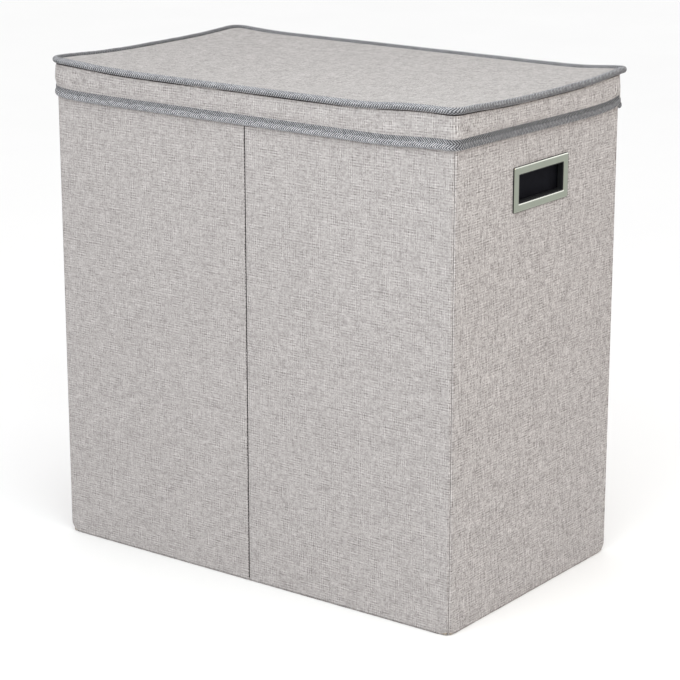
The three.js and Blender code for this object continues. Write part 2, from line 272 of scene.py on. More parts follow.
def make_object(name: str, points: Points, faces: Sequence, maps: Sequence, sharp: float = 50) -> Piece:
    """Makes a smooth mesh object whose faces look outward.

    Args:
        name: The piece's name.
        points: Its points, one a row.
        faces: Its faces, each a run of point numbers.
        maps: The weave's two coordinates for each corner of each face, in metres.
        sharp: Edges that turn by more degrees than this stay sharp.

    Returns:
        The object.
    """
    mesh = bpy.data.meshes.new(name)
    mesh.from_pydata(points.tolist(), [], faces)
    layer = mesh.uv_layers.new(name=WEAVE_MAP)
    layer.uv.foreach_set("vector", np.asarray(maps, np.float32).ravel())
    mesh.calc_loop_triangles()
    a, b, c = (points[[t.vertices[k] for t in mesh.loop_triangles]] for k in range(3))
    if (a * np.cross(b, c)).sum() < 0:
        mesh.flip_normals()
    mesh.polygons.foreach_set("use_smooth", np.ones(len(mesh.polygons), bool))
    mesh.set_sharp_from_angle(angle=math.radians(sharp))
    mesh.update()
    made = bpy.data.objects.new(name, mesh)
    bpy.context.scene.collection.objects.link(made)
    return made


def inward_face(grid: Points, thickness: float, closed: bool) -> Points:
    """The inner face of a sheet.

    Args:
        grid: Its outer face as rows, columns and three numbers, with the rows rising and the columns
            running to the right as seen from outside.
        thickness: How far inward the inner face lies.
        closed: Whether the last column is followed by the first.

    Returns:
        The inner face, as a grid like the outer one.
    """
    across = np.roll(grid, -1, 1) - np.roll(grid, 1, 1) if closed else np.gradient(grid, axis=1)
    normal = np.cross(across, np.gradient(grid, axis=0))
    return grid - thickness * normal / np.maximum(np.linalg.norm(normal, axis=2, keepdims=True), TINY * MM)


def cloth(name: str, grid: Points, across: np.ndarray, up: np.ndarray, thickness: float,
          closed: bool = False, opening: tuple[int, int, int, int] | None = None) -> Piece:
    """Makes a sheet of cloth with its thickness, from the grid of its outer face.

    Args:
        name: The piece's name.
        grid: Outer points as rows, columns and three numbers.
        across: The weave's coordinate across, for each column, and one more if closed.
        up: The weave's coordinate upward, for each row.
        thickness: How thick the cloth is, measured inward.
        closed: Whether the columns close into a ring.
        opening: First and last row, then first and last column, of an opening.

    Returns:
        The object.
    """
    rows, cols = grid.shape[:2]
    spans = cols if closed else cols - 1
    points = np.concatenate([grid, inward_face(grid, thickness, closed)]).reshape(-1, 3)
    faces, maps = [], []

    def face(*corners: tuple[int, int, int]) -> None:
        """Adds a face whose corners are row, column and 0 for outside or 1 for inside."""
        faces.append([(side * rows + i) * cols + j % cols for i, j, side in corners])
        maps.extend((across[j], up[i]) for i, j, _ in corners)

    def is_cell(i: int, j: int) -> bool:
        """Whether the cell above and right of a point is cloth."""
        if opening and opening[0] <= i < opening[1] and opening[2] <= j < opening[3]:
            return False
        return 0 <= i < rows - 1 and (closed or 0 <= j < spans)

    # Each edge of a cell: the way to its neighbour, then the two ends of the edge.
    edges = ((-1, 0, 0, 1, 0, 0), (1, 0, 1, 0, 1, 1), (0, -1, 0, 0, 1, 0), (0, 1, 1, 1, 0, 1))
    for i, j in ((i, j) for i in range(rows - 1) for j in range(spans) if is_cell(i, j)):
        face((i, j, 0), (i, j + 1, 0), (i + 1, j + 1, 0), (i + 1, j, 0))
        face((i, j, 1), (i + 1, j, 1), (i + 1, j + 1, 1), (i, j + 1, 1))
        for down, right, ai, aj, bi, bj in edges:
            if not is_cell(i + down, j + right):
                a, b = (i + ai, j + aj), (i + bi, j + bj)
                face((*a, 0), (*b, 0), (*b, 1), (*a, 1))
    used, numbers = np.unique(np.concatenate(faces), return_inverse=True)
    faces = numbers.reshape(-1, 4).tolist()
    return make_object(name, points[used], faces, maps)


def sweep(name: str, sections: Points, closed: bool, sharp: float = 50) -> Piece:
    """Makes a solid from the sections along its path, each a ring of points in the same order.

    Args:
        name: The piece's name.
        sections: Points as path, ring and three numbers. A ring runs counter-clockwise seen from
            the path's start.
        closed: Whether the path closes into a loop.
        sharp: Edges that turn by more degrees than this stay sharp.

    Returns:
        The object.
    """
    count, ring = sections.shape[:2]
    along, around = lengths(sections.mean(1), closed), lengths(sections[0], True)
    faces, maps = [], []
    for i in range(count if closed else count - 1):
        a, b = i * ring, (i + 1) % count * ring
        for j in range(ring):
            k = (j + 1) % ring
            faces.append([a + j, b + j, b + k, a + k])
            maps += [(along[x], around[y]) for x, y in ((i, j), (i + 1, j), (i + 1, j + 1), (i, j + 1))]
    if not closed:
        numbers = list(range(ring))
        faces += [numbers, [(count - 1) * ring + j for j in reversed(numbers)]]
        maps += [(along[0], around[j]) for j in numbers] + [(along[-1], around[j]) for j in reversed(numbers)]
    return make_object(name, sections.reshape(-1, 3), faces, maps, sharp)


def join(name: str, pieces: Sequence[Piece]) -> Piece:
    """Joins objects into the first one.

    Args:
        name: The name of the joined piece.
        pieces: The objects, which share their finish.

    Returns:
        The joined object.
    """
    chosen = list(pieces)
    with bpy.context.temp_override(
        active_object=chosen[0], selected_objects=chosen, selected_editable_objects=chosen
    ):
        bpy.ops.object.join()
    chosen[0].name = chosen[0].data.name = name
    return chosen[0]


@dataclass(frozen=True)
class Thread:
    """A sewing thread's stitches: how long each is, the pitch and the thickness."""

    length: float = 2.6 * MM
    pitch: float = 4.2 * MM
    radius: float = 0.32 * MM
    end_share: float = 0.12
    rise: float = 2.1
    sink: float = 1.3
    sides: int = 6
    rings: int = 5

    def sew(self, name: str, line: Points, outward: Points) -> Piece:
        """Lays stitches along a line.

        Args:
            name: The piece's name.
            line: Points on the cloth's face.
            outward: The direction off the cloth at each point.

        Returns:
            The object that holds every stitch.
        """
        along = lengths(line)

        def read(source: Points, where: np.ndarray) -> Points:
            """The points or directions at lengths along the line."""
            return np.stack([np.interp(where, along, source[:, k]) for k in range(3)], -1)

        centres = np.arange(self.pitch / 2, along[-1] - self.length / 2, self.pitch)
        shares = np.linspace(0, 1, self.rings)
        at = centres[:, None] + (shares - 0.5) * self.length
        out = read(outward, at)
        ahead = read(line, at + self.length / 4) - read(line, at - self.length / 4)
        across = np.cross(out, ahead / np.maximum(np.linalg.norm(ahead, axis=-1, keepdims=True), TINY))
        swell = np.sin(math.pi * (self.end_share + (1 - 2 * self.end_share) * shares))[:, None]
        angles = round_turns(self.sides)
        off = self.radius * (self.rise * swell - self.sink + swell * np.cos(angles))
        aside = self.radius * swell * np.sin(angles)
        lifted = read(line, at)[:, :, None] + out[:, :, None] * off[..., None]
        points = lifted + across[:, :, None] * aside[..., None]
        size, last = self.rings * self.sides, (self.rings - 1) * self.sides
        stitch = [[a + j, a + (j + 1) % self.sides, a + self.sides + (j + 1) % self.sides, a + self.sides + j]
                  for a in range(0, last, self.sides) for j in range(self.sides)]
        stitch += [list(reversed(range(self.sides))), list(range(last, size))]
        firsts = range(0, size * len(centres), size)
        faces = [[first + p for p in face] for first in firsts for face in stitch]
        return make_object(name, points.reshape(-1, 3), faces, np.zeros((sum(map(len, faces)), 2)), 80)


class Wire:
    """A number that a material's nodes work out at each place. Sums of wires make the nodes for them."""

    def __init__(self, bench: "Bench", socket: bpy.types.NodeSocket) -> None:
        """Keeps the output that gives the number."""
        self.bench, self.socket = bench, socket

    def calc(self, kind: Calc, other: "Wire | float" = 0.0) -> "Wire":
        """The result of a sum, with a second number where it takes one."""
        return self.bench.node("Math", {0: self, 1: other}, operation=kind.value)

    def __add__(self, other: "Wire | float") -> "Wire":
        """This number and another."""
        return self.calc(Calc.ADD, other)

    def __sub__(self, other: "Wire | float") -> "Wire":
        """This number less another."""
        return self.calc(Calc.TAKE, other)

    def __mul__(self, other: "Wire | float") -> "Wire":
        """This number times another."""
        return self.calc(Calc.TIMES, other)

    def __truediv__(self, other: "Wire | float") -> "Wire":
        """This number over another."""
        return self.calc(Calc.OVER, other)


class Bench:
    """One material in the making: short words for the nodes that it is put together from."""

    def __init__(self, name: str) -> None:
        """Starts a material with a principled shader."""
        self.material = bpy.data.materials.new(name)
        self.material.use_nodes = True
        self.tree = self.material.node_tree
        self.shader = next(n for n in self.tree.nodes if n.type == "BSDF_PRINCIPLED")

    def put(self, value: object, socket: bpy.types.NodeSocket) -> None:
        """Links a wire to a socket, or sets the socket to a plain value.

        Args:
            value: The wire or the plain value.
            socket: The input.
        """
        if isinstance(value, Wire):
            self.tree.links.new(value.socket, socket)
        else:
            socket.default_value = value

    def set(self, **values: object) -> None:
        """Sets or links sockets of the shader, with _ for a space in the name."""
        for name, value in values.items():
            self.put(value, self.shader.inputs[name.replace("_", " ")])

    def node(self, kind: str, inputs: dict, output: int | str = 0, **settings: object) -> Wire:
        """Adds a node.

        Args:
            kind: Its kind.
            inputs: The wire or plain value for each input, by number or name.
            output: The output that is read, by number or name.
            settings: The node's own settings.

        Returns:
            The output.
        """
        node = self.tree.nodes.new(f"ShaderNode{kind}")
        for name, value in settings.items():
            setattr(node, name, value)
        for key, value in inputs.items():
            self.put(value, node.inputs[key])
        return Wire(self, node.outputs[output])

    def parts(self, vector: Wire) -> list[Wire]:
        """The three numbers of a vector."""
        split = self.node("SeparateXYZ", {0: vector}).socket.node
        return [Wire(self, output) for output in split.outputs]

    def weave_place(self) -> list[Wire]:
        """The weave's two coordinates, in metres."""
        return self.parts(self.node("UVMap", {}, "UV", uv_map=WEAVE_MAP))[:2]

    def place(self) -> Wire:
        """The place on the piece, in metres."""
        return self.node("TexCoord", {}, "Object")

    def facing(self) -> list[Wire]:
        """The three numbers of the direction that the piece faces, at rest."""
        return self.parts(self.node("TexCoord", {}, "Normal"))

    def side_share(self, axis: int) -> Wire:
        """How squarely the piece faces along an axis: 1 on the ends of the box for axis 0."""
        return self.facing()[axis].calc(Calc.SIZE)

    def vector(self, x: Wire | float, y: Wire | float, z: Wire | float = 0.0) -> Wire:
        """A vector of three values."""
        return self.node("CombineXYZ", {0: x, 1: y, 2: z})

    def noise(self, place: Wire, scale: float = 1.0, detail: float = 0.0, rough: float = 0.5) -> Wire:
        """Soft noise, mostly between 0.25 and 0.75."""
        inputs = {"Vector": place, "Scale": scale, "Detail": detail, "Roughness": rough}
        return self.node("TexNoise", inputs, "Fac")

    def chance(self, place: Wire) -> Wire:
        """A value of 0 to 1 drawn by lot for each place."""
        return self.node("TexWhiteNoise", {"Vector": place}, "Value", noise_dimensions="2D")

    def blend(self, share: Wire, first: Wire | float, second: Wire | float) -> Wire:
        """A value between two, by share."""
        return self.node("Mix", {0: share, 2: first, 3: second})

    def tint(self, share: Wire, first: Wire | Four, second: Wire | Four) -> Wire:
        """A colour between two, by share."""
        return self.node("Mix", {0: share, 6: first, 7: second}, 2, data_type="RGBA")

    def times_tint(self, colour: Wire, share: Wire) -> Wire:
        """A colour made darker or lighter by a value."""
        return self.node("Mix", {0: 1.0, 6: colour, 7: share}, 2, data_type="RGBA", blend_type="MULTIPLY")

    def ramp(self, share: Wire, *stops: tuple[float, Four]) -> Wire:
        """A colour read from a scale of colours.

        Args:
            share: Where to read it.
            stops: The scale's places, each with its colour.

        Returns:
            The colour.
        """
        colour = self.node("ValToRGB", {0: share})
        marks = colour.socket.node.color_ramp.elements
        while len(marks) < len(stops):
            marks.new(0.5)
        for mark, (at, shade) in zip(marks, stops):
            mark.position, mark.color = at, shade
        return colour

    def bump(self, height: Wire, distance: float, strength: float = 1.0) -> Wire:
        """A normal from a height of 0 to 1."""
        return self.node("Bump", {"Strength": strength, "Distance": distance, "Height": height})


@dataclass(frozen=True)
class Linen:
    """Linen-look cloth: a plain weave whose threads each run lighter and darker, with a grain of its own.

    The shares are how much warp, weft, grain, odd columns and odd rows count, and how many times as
    much they count on the ends of the box. Those end shares, and the stronger contrast on the ends and on the
    top, are painted shading that stands in for light raking across the weave.
    """

    name: str = "linen"
    base: Four = shown(170, 165.5, 164.3)
    dark: Four = shown(112, 107, 106)
    light: Four = shown(209, 205, 204)
    pitch: float = 1.5 * MM
    run: float = 10.0
    lane: float = 7.313
    shares: tuple[float, ...] = (0.3, 0.36, 0.3, 0.18, 0.25)
    # Painted shading: more contrast on the ends and the top stands in for light raking across the weave.
    end_shares: tuple[float, ...] = (1.4, 0.85, 1.15, 2.3, 0.75)
    end_strength: float = 1.35
    top_strength: float = 1.35
    drift: float = 38 * MM
    close: float = 6 * MM
    far: float = 40 * MM
    patch: float = 14 * MM
    # Painted shade between the threads and painted light on their crowns, as the weave's relief would be lit.
    groove: float = 0.9
    crest: float = 1.06
    roundness: float = 0.55
    relief: float = 0.4 * MM

    def thread_tone(self, bench: Bench, index: Wire, along: Wire, offset: float) -> Wire:
        """How light each thread of one direction is along its length.

        Args:
            bench: The material in the making.
            index: Which thread.
            along: The place along it, in threads.
            offset: Keeps the two directions apart.

        Returns:
            A tone of about -0.5 to 0.5.
        """
        return bench.noise(bench.vector(index * self.lane, along / self.run, offset)) - 0.5

    def threads(self, bench: Bench, along: Wire, across: Wire, drift: Wire, offset: float) -> Wire:
        """The place in threads, which wavers as cloth is never quite square.

        Args:
            bench: The material in the making.
            along: The weave's coordinate that counts the threads.
            across: The other coordinate.
            drift: A slow noise that both directions share.
            offset: Keeps the two directions apart.

        Returns:
            The place.
        """
        close = bench.noise(bench.vector(along / self.close, across / self.far, offset))
        return along / self.pitch + (close + drift)

    def build(self) -> Material:
        """Makes the material."""
        bench = Bench(self.name)
        u, v = bench.weave_place()
        flat = bench.vector(u, v)
        drift = bench.noise(flat, 1 / self.drift, 1.0)
        across, up = self.threads(bench, u, v, drift, 5.0), self.threads(bench, v, u, drift, 9.0)
        column, row = across.calc(Calc.FLOOR), up.calc(Calc.FLOOR)
        patch = (bench.noise(flat, 1 / self.patch, 1.0) - 0.3) * 2.5
        odd = [(index.calc(Calc.REST, 2.0) - 0.5) * patch for index in (column, row)]
        tones = (self.thread_tone(bench, column, up, 0.0), self.thread_tone(bench, row, across, 31.0),
                 bench.chance(bench.vector(column, row)) - 0.5, *odd)
        # Painted shading: the tone's contrast grows on faces that look along X and on level faces, as raking
        # light would show the weave.
        end, level = bench.side_share(0), bench.side_share(2)
        first, *others = (part * bench.blend(end, share, share * more)
                          for part, share, more in zip(tones, self.shares, self.end_shares))
        strength = bench.blend(level, bench.blend(end, 1.0, self.end_strength), self.top_strength)
        tone = sum(others, first) * strength + 0.5
        rise, swell = ((place.calc(Calc.PART) * math.pi).calc(Calc.WAVE) for place in (across, up))
        crown = (rise * swell).calc(Calc.POWER, self.roundness)
        yarn = bench.ramp(tone, (0.0, self.dark), (0.5, self.base), (1.0, self.light))
        # Painted shade and light: the yarn colour is darkened between threads and lightened on their crowns.
        colour = bench.times_tint(yarn, bench.blend(crown, self.groove, self.crest))
        bench.set(Base_Color=colour, Roughness=0.92, Specular_IOR_Level=0.18, Sheen_Weight=0.12,
                  Sheen_Roughness=0.5, Normal=bench.bump(crown * 0.4 + tone * 0.6, self.relief))
        return bench.material


@dataclass(frozen=True)
class Braid:
    """Grey trim woven in a herringbone: slanting ribs that meet along lines, with light flecks.

    Where leaf is given, the part of the tape below leaf is darker, painted shade for the flat leaf that lies
    under the skirt's bulge. Where inner is given, the part past inner is darker, painted shade where the
    piping turns down against the lid's top cloth. On the ends of the box the tape is darker too, painted
    shade for the side away from the light.
    """

    name: str = "braid_trim"
    base: Four = shown(122, 122.5, 127)
    dark: Four = shown(50, 51, 56)
    light: Four = shown(206, 207, 211)
    rib: float = 3.2 * MM
    band: float = 10 * MM
    slant: float = 3.2
    lane: float = 5.77
    fleck: float = 2.4 * MM
    strand: float = 1.1 * MM
    relief: float = 0.4 * MM
    leaf: float = 0.0
    leaf_shade: float = 0.7
    inner: float = 0.0
    inner_shade: float = 0.72
    end_shade: float = 0.6

    def build(self) -> Material:
        """Makes the material."""
        bench = Bench(self.name)
        u, v = bench.weave_place()
        fold = ((v / self.band).calc(Calc.PART) - 0.5).calc(Calc.SIZE)
        phase = u / self.rib + fold * self.slant
        ribs = (phase * (2 * math.pi)).calc(Calc.WAVE) * 0.5 + 0.5
        fleck = bench.noise(bench.vector(phase.calc(Calc.FLOOR) * self.lane, v / self.fleck))
        strand = bench.noise(bench.vector(u / self.strand, v / self.strand))
        tone = ribs * 0.72 + fleck * 0.5 - 0.11
        colour = bench.ramp(tone, (0.1, self.dark), (0.5, self.base), (0.9, self.light))
        # Painted shade: the flat leaf under the skirt's bulge is darkened.
        if self.leaf:
            shade = bench.blend(v.calc(Calc.ABOVE, self.leaf), self.leaf_shade, 1.0)
            colour = bench.times_tint(colour, shade)
        # Painted shade: the side of the piping that turns down against the top cloth is darkened.
        if self.inner:
            shade = bench.blend(v.calc(Calc.ABOVE, self.inner), 1.0, self.inner_shade)
            colour = bench.times_tint(colour, shade)
        # Painted shade: every braid is darker where it faces along X, on the ends of the box, away from the
        # light.
        colour = bench.times_tint(colour, bench.blend(bench.side_share(0), 1.0, self.end_shade))
        bench.set(Base_Color=colour, Roughness=0.78, Specular_IOR_Level=0.3, Sheen_Weight=0.1,
                  Normal=bench.bump(ribs + strand * 0.35, self.relief))
        return bench.material


@dataclass(frozen=True)
class PlainWeave:
    """Fine plain cloth or webbing with ribs, for the liner, the lining and the straps."""

    name: str
    base: Four
    light: Four
    pitch: float = 0.9 * MM
    ribs: float = 1.0
    relief: float = 0.12 * MM
    patch: float = 14 * MM
    rough: float = 0.85
    sheen: float = 0.2
    gloss: float = 0.3

    def build(self) -> Material:
        """Makes the material."""
        bench = Bench(self.name)
        u, v = bench.weave_place()
        wave, rib = ((place * (2 * math.pi / wide)).calc(Calc.WAVE)
                     for place, wide in ((u, self.pitch), (v, self.pitch * self.ribs)))
        grain = wave * rib * 0.5 + 0.5
        tone = grain * 0.45 + bench.noise(bench.vector(u, v), 1 / self.patch, 3.0, 0.6) * 0.55
        bench.set(Base_Color=bench.ramp(tone, (0.2, self.base), (0.9, self.light)), Roughness=self.rough,
                  Specular_IOR_Level=self.gloss, Sheen_Weight=self.sheen,
                  Normal=bench.bump(grain, self.relief))
        return bench.material


@dataclass(frozen=True)
class SatinNickel:
    """Stamped metal with a satin face and a warm green cast; its upward-facing bevels are tinted near-white
    and made smoother, a painted highlight on top of the glint that the renderer reflects there.
    """

    name: str = "satin_nickel"
    base: Four = shown(152, 158, 145)
    worn: Four = shown(163, 168, 155)
    # Painted highlight: the near-white colour of the upward-facing bevels.
    edge: Four = shown(240, 242, 232)
    fine: float = 9000
    long: float = 260
    haze: float = 16 * MM
    glint_slope: float = 0.16
    rough_edge: float = 0.12

    def build(self) -> Material:
        """Makes the material."""
        bench = Bench(self.name)
        place = bench.place()
        x, y, z = bench.parts(place)
        grain = bench.noise(bench.vector(x * self.fine, y * self.long, z * self.fine), 1, 2.0)
        # Painted highlight: bevels that face up and sideways, where the light glints, take the near-white
        # colour.
        facing = bench.facing()
        edge = (facing[2].calc(Calc.MOST) * facing[0].calc(Calc.SIZE)).calc(Calc.ABOVE, self.glint_slope)
        face = bench.tint(bench.noise(place, 1 / self.haze, 3.0), self.base, self.worn)
        bench.set(Base_Color=bench.tint(edge, face, self.edge), Metallic=1.0,
                  Roughness=bench.blend(edge, bench.blend(grain, 0.24, 0.4), self.rough_edge),
                  Normal=bench.bump(grain, 0.02 * MM, 0.4))
        return bench.material


@dataclass(frozen=True)
class Grained:
    """A plain stuff with a fine grain: moulded plastic, grey board, thread, or the dark finish that paints
    shade into the seams.
    """

    name: str
    base: Four
    light: Four
    grain: float = 0.6 * MM
    broad: float = 30
    relief: float = 0.05 * MM
    rough: float = 0.6

    def build(self) -> Material:
        """Makes the material."""
        bench = Bench(self.name)
        place = bench.place()
        fine = bench.noise(place, 1 / self.grain, 2.0)
        tone = fine * 0.5 + bench.noise(place, 1 / (self.broad * self.grain), 3.0) * 0.5
        bench.set(Base_Color=bench.ramp(tone, (0.3, self.base), (0.75, self.light)),
                  Roughness=bench.blend(fine, self.rough - 0.08, self.rough + 0.1), Specular_IOR_Level=0.4,
                  Normal=bench.bump(fine, self.relief))
        return bench.material


class Finishes:
    """Every finish of the hamper."""

    def __init__(self) -> None:
        """Makes each material once."""
        self.linen = Linen().build()
        self.braid = Braid().build()
        # Painted shade: the piping's inner side, where it meets the top cloth, is darker.
        self.piping = Braid("braid_piping", inner=7.9 * MM).build()
        # Painted shade: the binding's upper leaf is darker, and more so on the ends of the box.
        self.binding = Braid("braid_binding", shown(119, 119.5, 124), leaf=5.6 * MM, end_shade=0.52).build()
        self.nickel = SatinNickel().build()
        self.liner = PlainWeave("liner_weave", shown(10, 11, 16), shown(27, 28, 35), pitch=0.8 * MM,
                                sheen=0.0, gloss=0.1).build()
        self.lining = PlainWeave("lining_weave", shown(158, 156, 153), shown(186, 184, 181),
                                 pitch=1.6 * MM, relief=0.2 * MM).build()
        self.webbing = PlainWeave("webbing_ribs", shown(26, 27, 30), shown(66, 68, 74), pitch=2.0 * MM,
                                  ribs=0.6, relief=0.35 * MM).build()
        self.plastic = Grained("black_plastic", shown(17, 18, 20), shown(27, 28, 30), rough=0.55).build()
        self.board = Grained("greyboard", shown(148, 138, 124), shown(176, 166, 150), 1.2 * MM,
                             rough=0.88).build()
        self.thread = Grained("grey_thread", shown(96, 91, 91), shown(140, 135, 134), 0.4 * MM,
                              rough=0.8).build()
        # Painted shade: dark strips in the seams and the cord under the piped edge stand in for their
        # shadows.
        self.shade = Grained("seam_tape", shown(34, 30, 31), shown(52, 47, 47), 0.8 * MM, rough=0.9).build()


def dress(piece: Piece, material: Material, slot: str, body: str, *nodes: str) -> Piece:
    """Gives a piece its finish, its body and the CAD nodes that it stands for.

    Args:
        piece: The object.
        material: Its finish.
        slot: The record's slot for that finish; not used.
        body: The CAD body that it moves with.
        nodes: CAD nodes that it replaces.

    Returns:
        The object.
    """
    piece.data.materials.clear()
    piece.data.materials.append(material)
    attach(piece, body)
    if nodes:
        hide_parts(*nodes)
    log.info("%s on %s: %d faces", piece.name, body, len(piece.data.polygons))
    return piece


def repaint(node: str, material: Material) -> None:
    """Gives a CAD node that stays in view a better material."""
    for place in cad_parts[node].material_slots:
        place.material = material
    log.info("%s keeps its shape", node)


def box_plan(radii: Four) -> Outline:
    """The plan of the box's walls, with corners of these radii."""
    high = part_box("bottom_cloth")[1]
    return Outline(high.x, high.y, radii)


def rings(plan: Outline, stations: np.ndarray, profile: Iterable[Pair]) -> Points:
    """Sections round a plan, from a profile of how far outward and how high each of its points is."""
    columns = [raised(*plan.moved(out).at(stations), 0, height) for out, height in profile]
    return np.stack(columns, 1)


def nearest(values: np.ndarray, marks: Iterable[float]) -> list[int]:
    """The number of the value nearest to each mark."""
    return [int(np.argmin(abs(values - mark))) for mark in marks]


@dataclass
class Walls:
    """The cloth on the walls: six panels sewn at the corners and down the middle, and the bottom.

    A profile's numbers are millimetres, and shares of the cloth's thickness at the bottom.
    """

    finishes: Finishes
    skin: float = 1.0 * MM
    turn: float = 0.8 * MM
    seam_gap: float = 0.4 * MM
    corner_gap: float = 0.11 * MM
    ridge: float = 0.9 * MM
    ridge_width: float = 2.0 * MM
    ridge_inset: float = 3.2 * MM
    tuck: float = 0.5 * MM
    foot_turn: float = 1.2 * MM
    step: float = 8 * MM
    wave: float = 0.7 * MM
    wave_length: float = 160 * MM
    weave_shift: float = 310 * MM
    corner_depth: float = 4.0 * MM
    corner_reach: float = 4.5 * MM
    roll: float = 0.7 * MM
    roll_width: float = 9 * MM
    frame_border: float = 11 * MM
    opening_clearance: float = 2.6 * MM
    tape_profile: Profile = ((-0.9, 0.85), (-0.9, 1.3), (0.9, 1.3), (0.9, 0.85))
    stitch_depth: float = 0.45 * MM
    bottom_profile: Profile = (
        (2.6, 1.0), (1.4, 1.0), (0.8, 0.8), (0.6, 0.5), (0.8, 0.2), (1.5, 0.02), (3.0, 0.0)
    )
    outline: Outline = field(init=False)
    base: float = field(init=False)
    foot: float = field(init=False)
    top: float = field(init=False)

    def __post_init__(self) -> None:
        """Reads the shell's size from the frame."""
        low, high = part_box("bottom_cloth")
        self.outline = box_plan((high.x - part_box("front_right_board")[1].x,) * 4)
        self.base = low.z
        self.foot, self.top = (end.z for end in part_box("front_left_cloth"))

    def soften(self, points: Points) -> Points:
        """Draws the four bottom corners in, as cloth rounds them off.

        Args:
            points: Places.

        Returns:
            The places, moved.
        """
        moved = points.copy()
        for sx, sy in CORNER_SIDES:
            corner = np.array([sx * self.outline.half_x, sy * self.outline.half_y, self.base])
            near = np.exp(-((points - corner) ** 2).sum(-1) / (2 * self.corner_reach**2))
            moved += near[..., None] * np.array([-sx, -sy, 1]) / math.sqrt(3) * self.corner_depth
        return moved

    def gap(self, station: float) -> float:
        """Half the width of the gap at a seam, which is wider down the middle than at the corners."""
        return self.seam_gap if station % 4 == 1.5 else self.corner_gap

    def plan(self, start: float, end: float, extra: Iterable[float]) -> tuple[Points, Points, np.ndarray]:
        """The plan of a panel, with both ends turned into their seams.

        Args:
            start: Its first station.
            end: Its last station.
            extra: Stations that it must pass through.

        Returns:
            Points, outward normals and lengths along, for each column.
        """
        stations = np.unique([*self.outline.walk(start, end, self.step, 10), *extra])
        points, normals = self.outline.at(np.clip(stations, start, end - TINY))
        along = lengths(points)
        inner = (along > 2 * self.turn) & (along < along[-1] - 2 * self.turn)
        places, out = self.outline.at(np.array([start, end]))
        angles = np.radians((90, 90, 60, 30, 0))
        sinks = self.turn * (1 - np.cos(angles)) + self.tuck * (np.arange(5) == 0)
        runs = self.turn * (1 - np.sin(angles))
        ends = []
        for place, facing, station, way in zip(places, out, (start, end), (1, -1)):
            head = (-way * facing[1], way * facing[0])
            ends.append(place + np.outer(runs + self.gap(station), head) - np.outer(sinks, facing))
        line = np.concatenate([ends[0], points[inner], ends[1][::-1]])
        return line, np.concatenate([[out[0]] * 5, normals[inner], [out[1]] * 5]), lengths(line)

    def rows(self, extra: Iterable[float]) -> tuple[np.ndarray, np.ndarray]:
        """Insets and heights of a panel's rows, with the foot turned under.

        Args:
            extra: Heights that it must pass through.

        Returns:
            The insets and the heights.
        """
        angles = np.radians(np.linspace(0, 90, 5))
        near = self.foot + np.array([3, 5, 8, 12, 17]) * MM
        count = math.ceil((self.top - near[-1]) / self.step)
        rise = np.unique(np.round([*near, *np.linspace(near[-1], self.top, count + 1), *extra], 6))
        foot = self.foot + self.foot_turn * (1 - np.cos(angles))
        insets = self.foot_turn * (1 - np.sin(angles))
        return np.concatenate([insets, np.zeros(len(rise))]), np.concatenate([foot, rise])

    def panel(self, name: str, start: float, end: float, seed: int) -> None:
        """Makes one panel.

        Args:
            name: The wall's name.
            start: Its first station.
            end: Its last station.
            seed: Which set of soft waves.
        """
        is_end = name.endswith("_end")
        columns, levels = (), ()
        if is_end:
            low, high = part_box(name.replace("end", "handle_frame"))
            margin = self.frame_border - self.opening_clearance
            reach = high.y - margin
            half = reach / (self.outline.half_y - self.outline.radii[0]) / 2
            columns = ((start + end) / 2 - half, (start + end) / 2 + half)
            levels = (low.z + margin, high.z - margin)
        line, facing, along = self.plan(start, end, columns)
        insets, heights = self.rows(levels)
        grid = raised(line, facing, -insets[:, None], heights[:, None])
        edge = np.minimum(along, along[-1] - along)
        quiet = ease(edge, 2 * MM, 40 * MM) * ease(heights, self.foot + 2 * MM, self.foot + 50 * MM)[:, None]
        out = self.wave * Waves(self.wave_length, seed).swells(grid) * quiet
        if name in ("front_right", "back_left"):
            rolled = np.clip(1 - (along - 2 * self.turn) / self.roll_width, 0, 1) ** 2
            out -= self.roll * rolled * (heights > self.foot + self.foot_turn)[:, None]
        if is_end:
            out += self.ridge * np.exp(-(((edge - self.ridge_inset) / self.ridge_width) ** 2))
        grid[..., :2] += facing * out[..., None]
        opening = None
        if is_end:
            opening = (*nearest(heights, levels), *sorted(nearest(line[:, 1], (-reach, reach))))
        shifted = along + seed * self.weave_shift
        piece = cloth(f"{name}_panel", self.soften(grid), shifted, heights, self.skin, opening=opening)
        dress(piece, self.finishes.linen, "linen_cloth", "box", f"{name}_cloth")

    def seam(self, name: str, station: float) -> None:
        """Sews one upright seam: a dark strip behind its gap, painted shade for the seam's shadow, and its
        stitches.

        Args:
            name: Where the seam is, in words.
            station: Where it runs.
        """
        place, out = (found[0] for found in self.outline.at(np.array([station])))
        head = np.array([-out[1], out[0]])
        heights = np.linspace(self.foot + 2.2 * MM, self.top, 90)
        ring = [place + (head * aside - out * deep) * MM for aside, deep in self.tape_profile]
        sections = self.soften(np.array([[(*p, z) for p in ring] for z in heights[::-1]]))
        # Painted shade: a dark strip behind the seam's gap stands in for the shadow in it.
        dress(sweep(f"{name}_seam_tape", sections, False), self.finishes.shade, "linen_cloth", "box")
        line = self.soften(np.array([(*(place - out * self.stitch_depth), z) for z in heights]))
        stitches = Thread().sew(f"{name}_seam_stitches", line, np.tile((*out, 0.0), (len(line), 1)))
        # The middle seams' stitches take the same dark painted-shade finish, which darkens the seam line; the
        # corner seams' stitches take grey thread.
        thread = self.finishes.shade if self.gap(station) == self.seam_gap else self.finishes.thread
        dress(stitches, thread, "linen_cloth", "box")

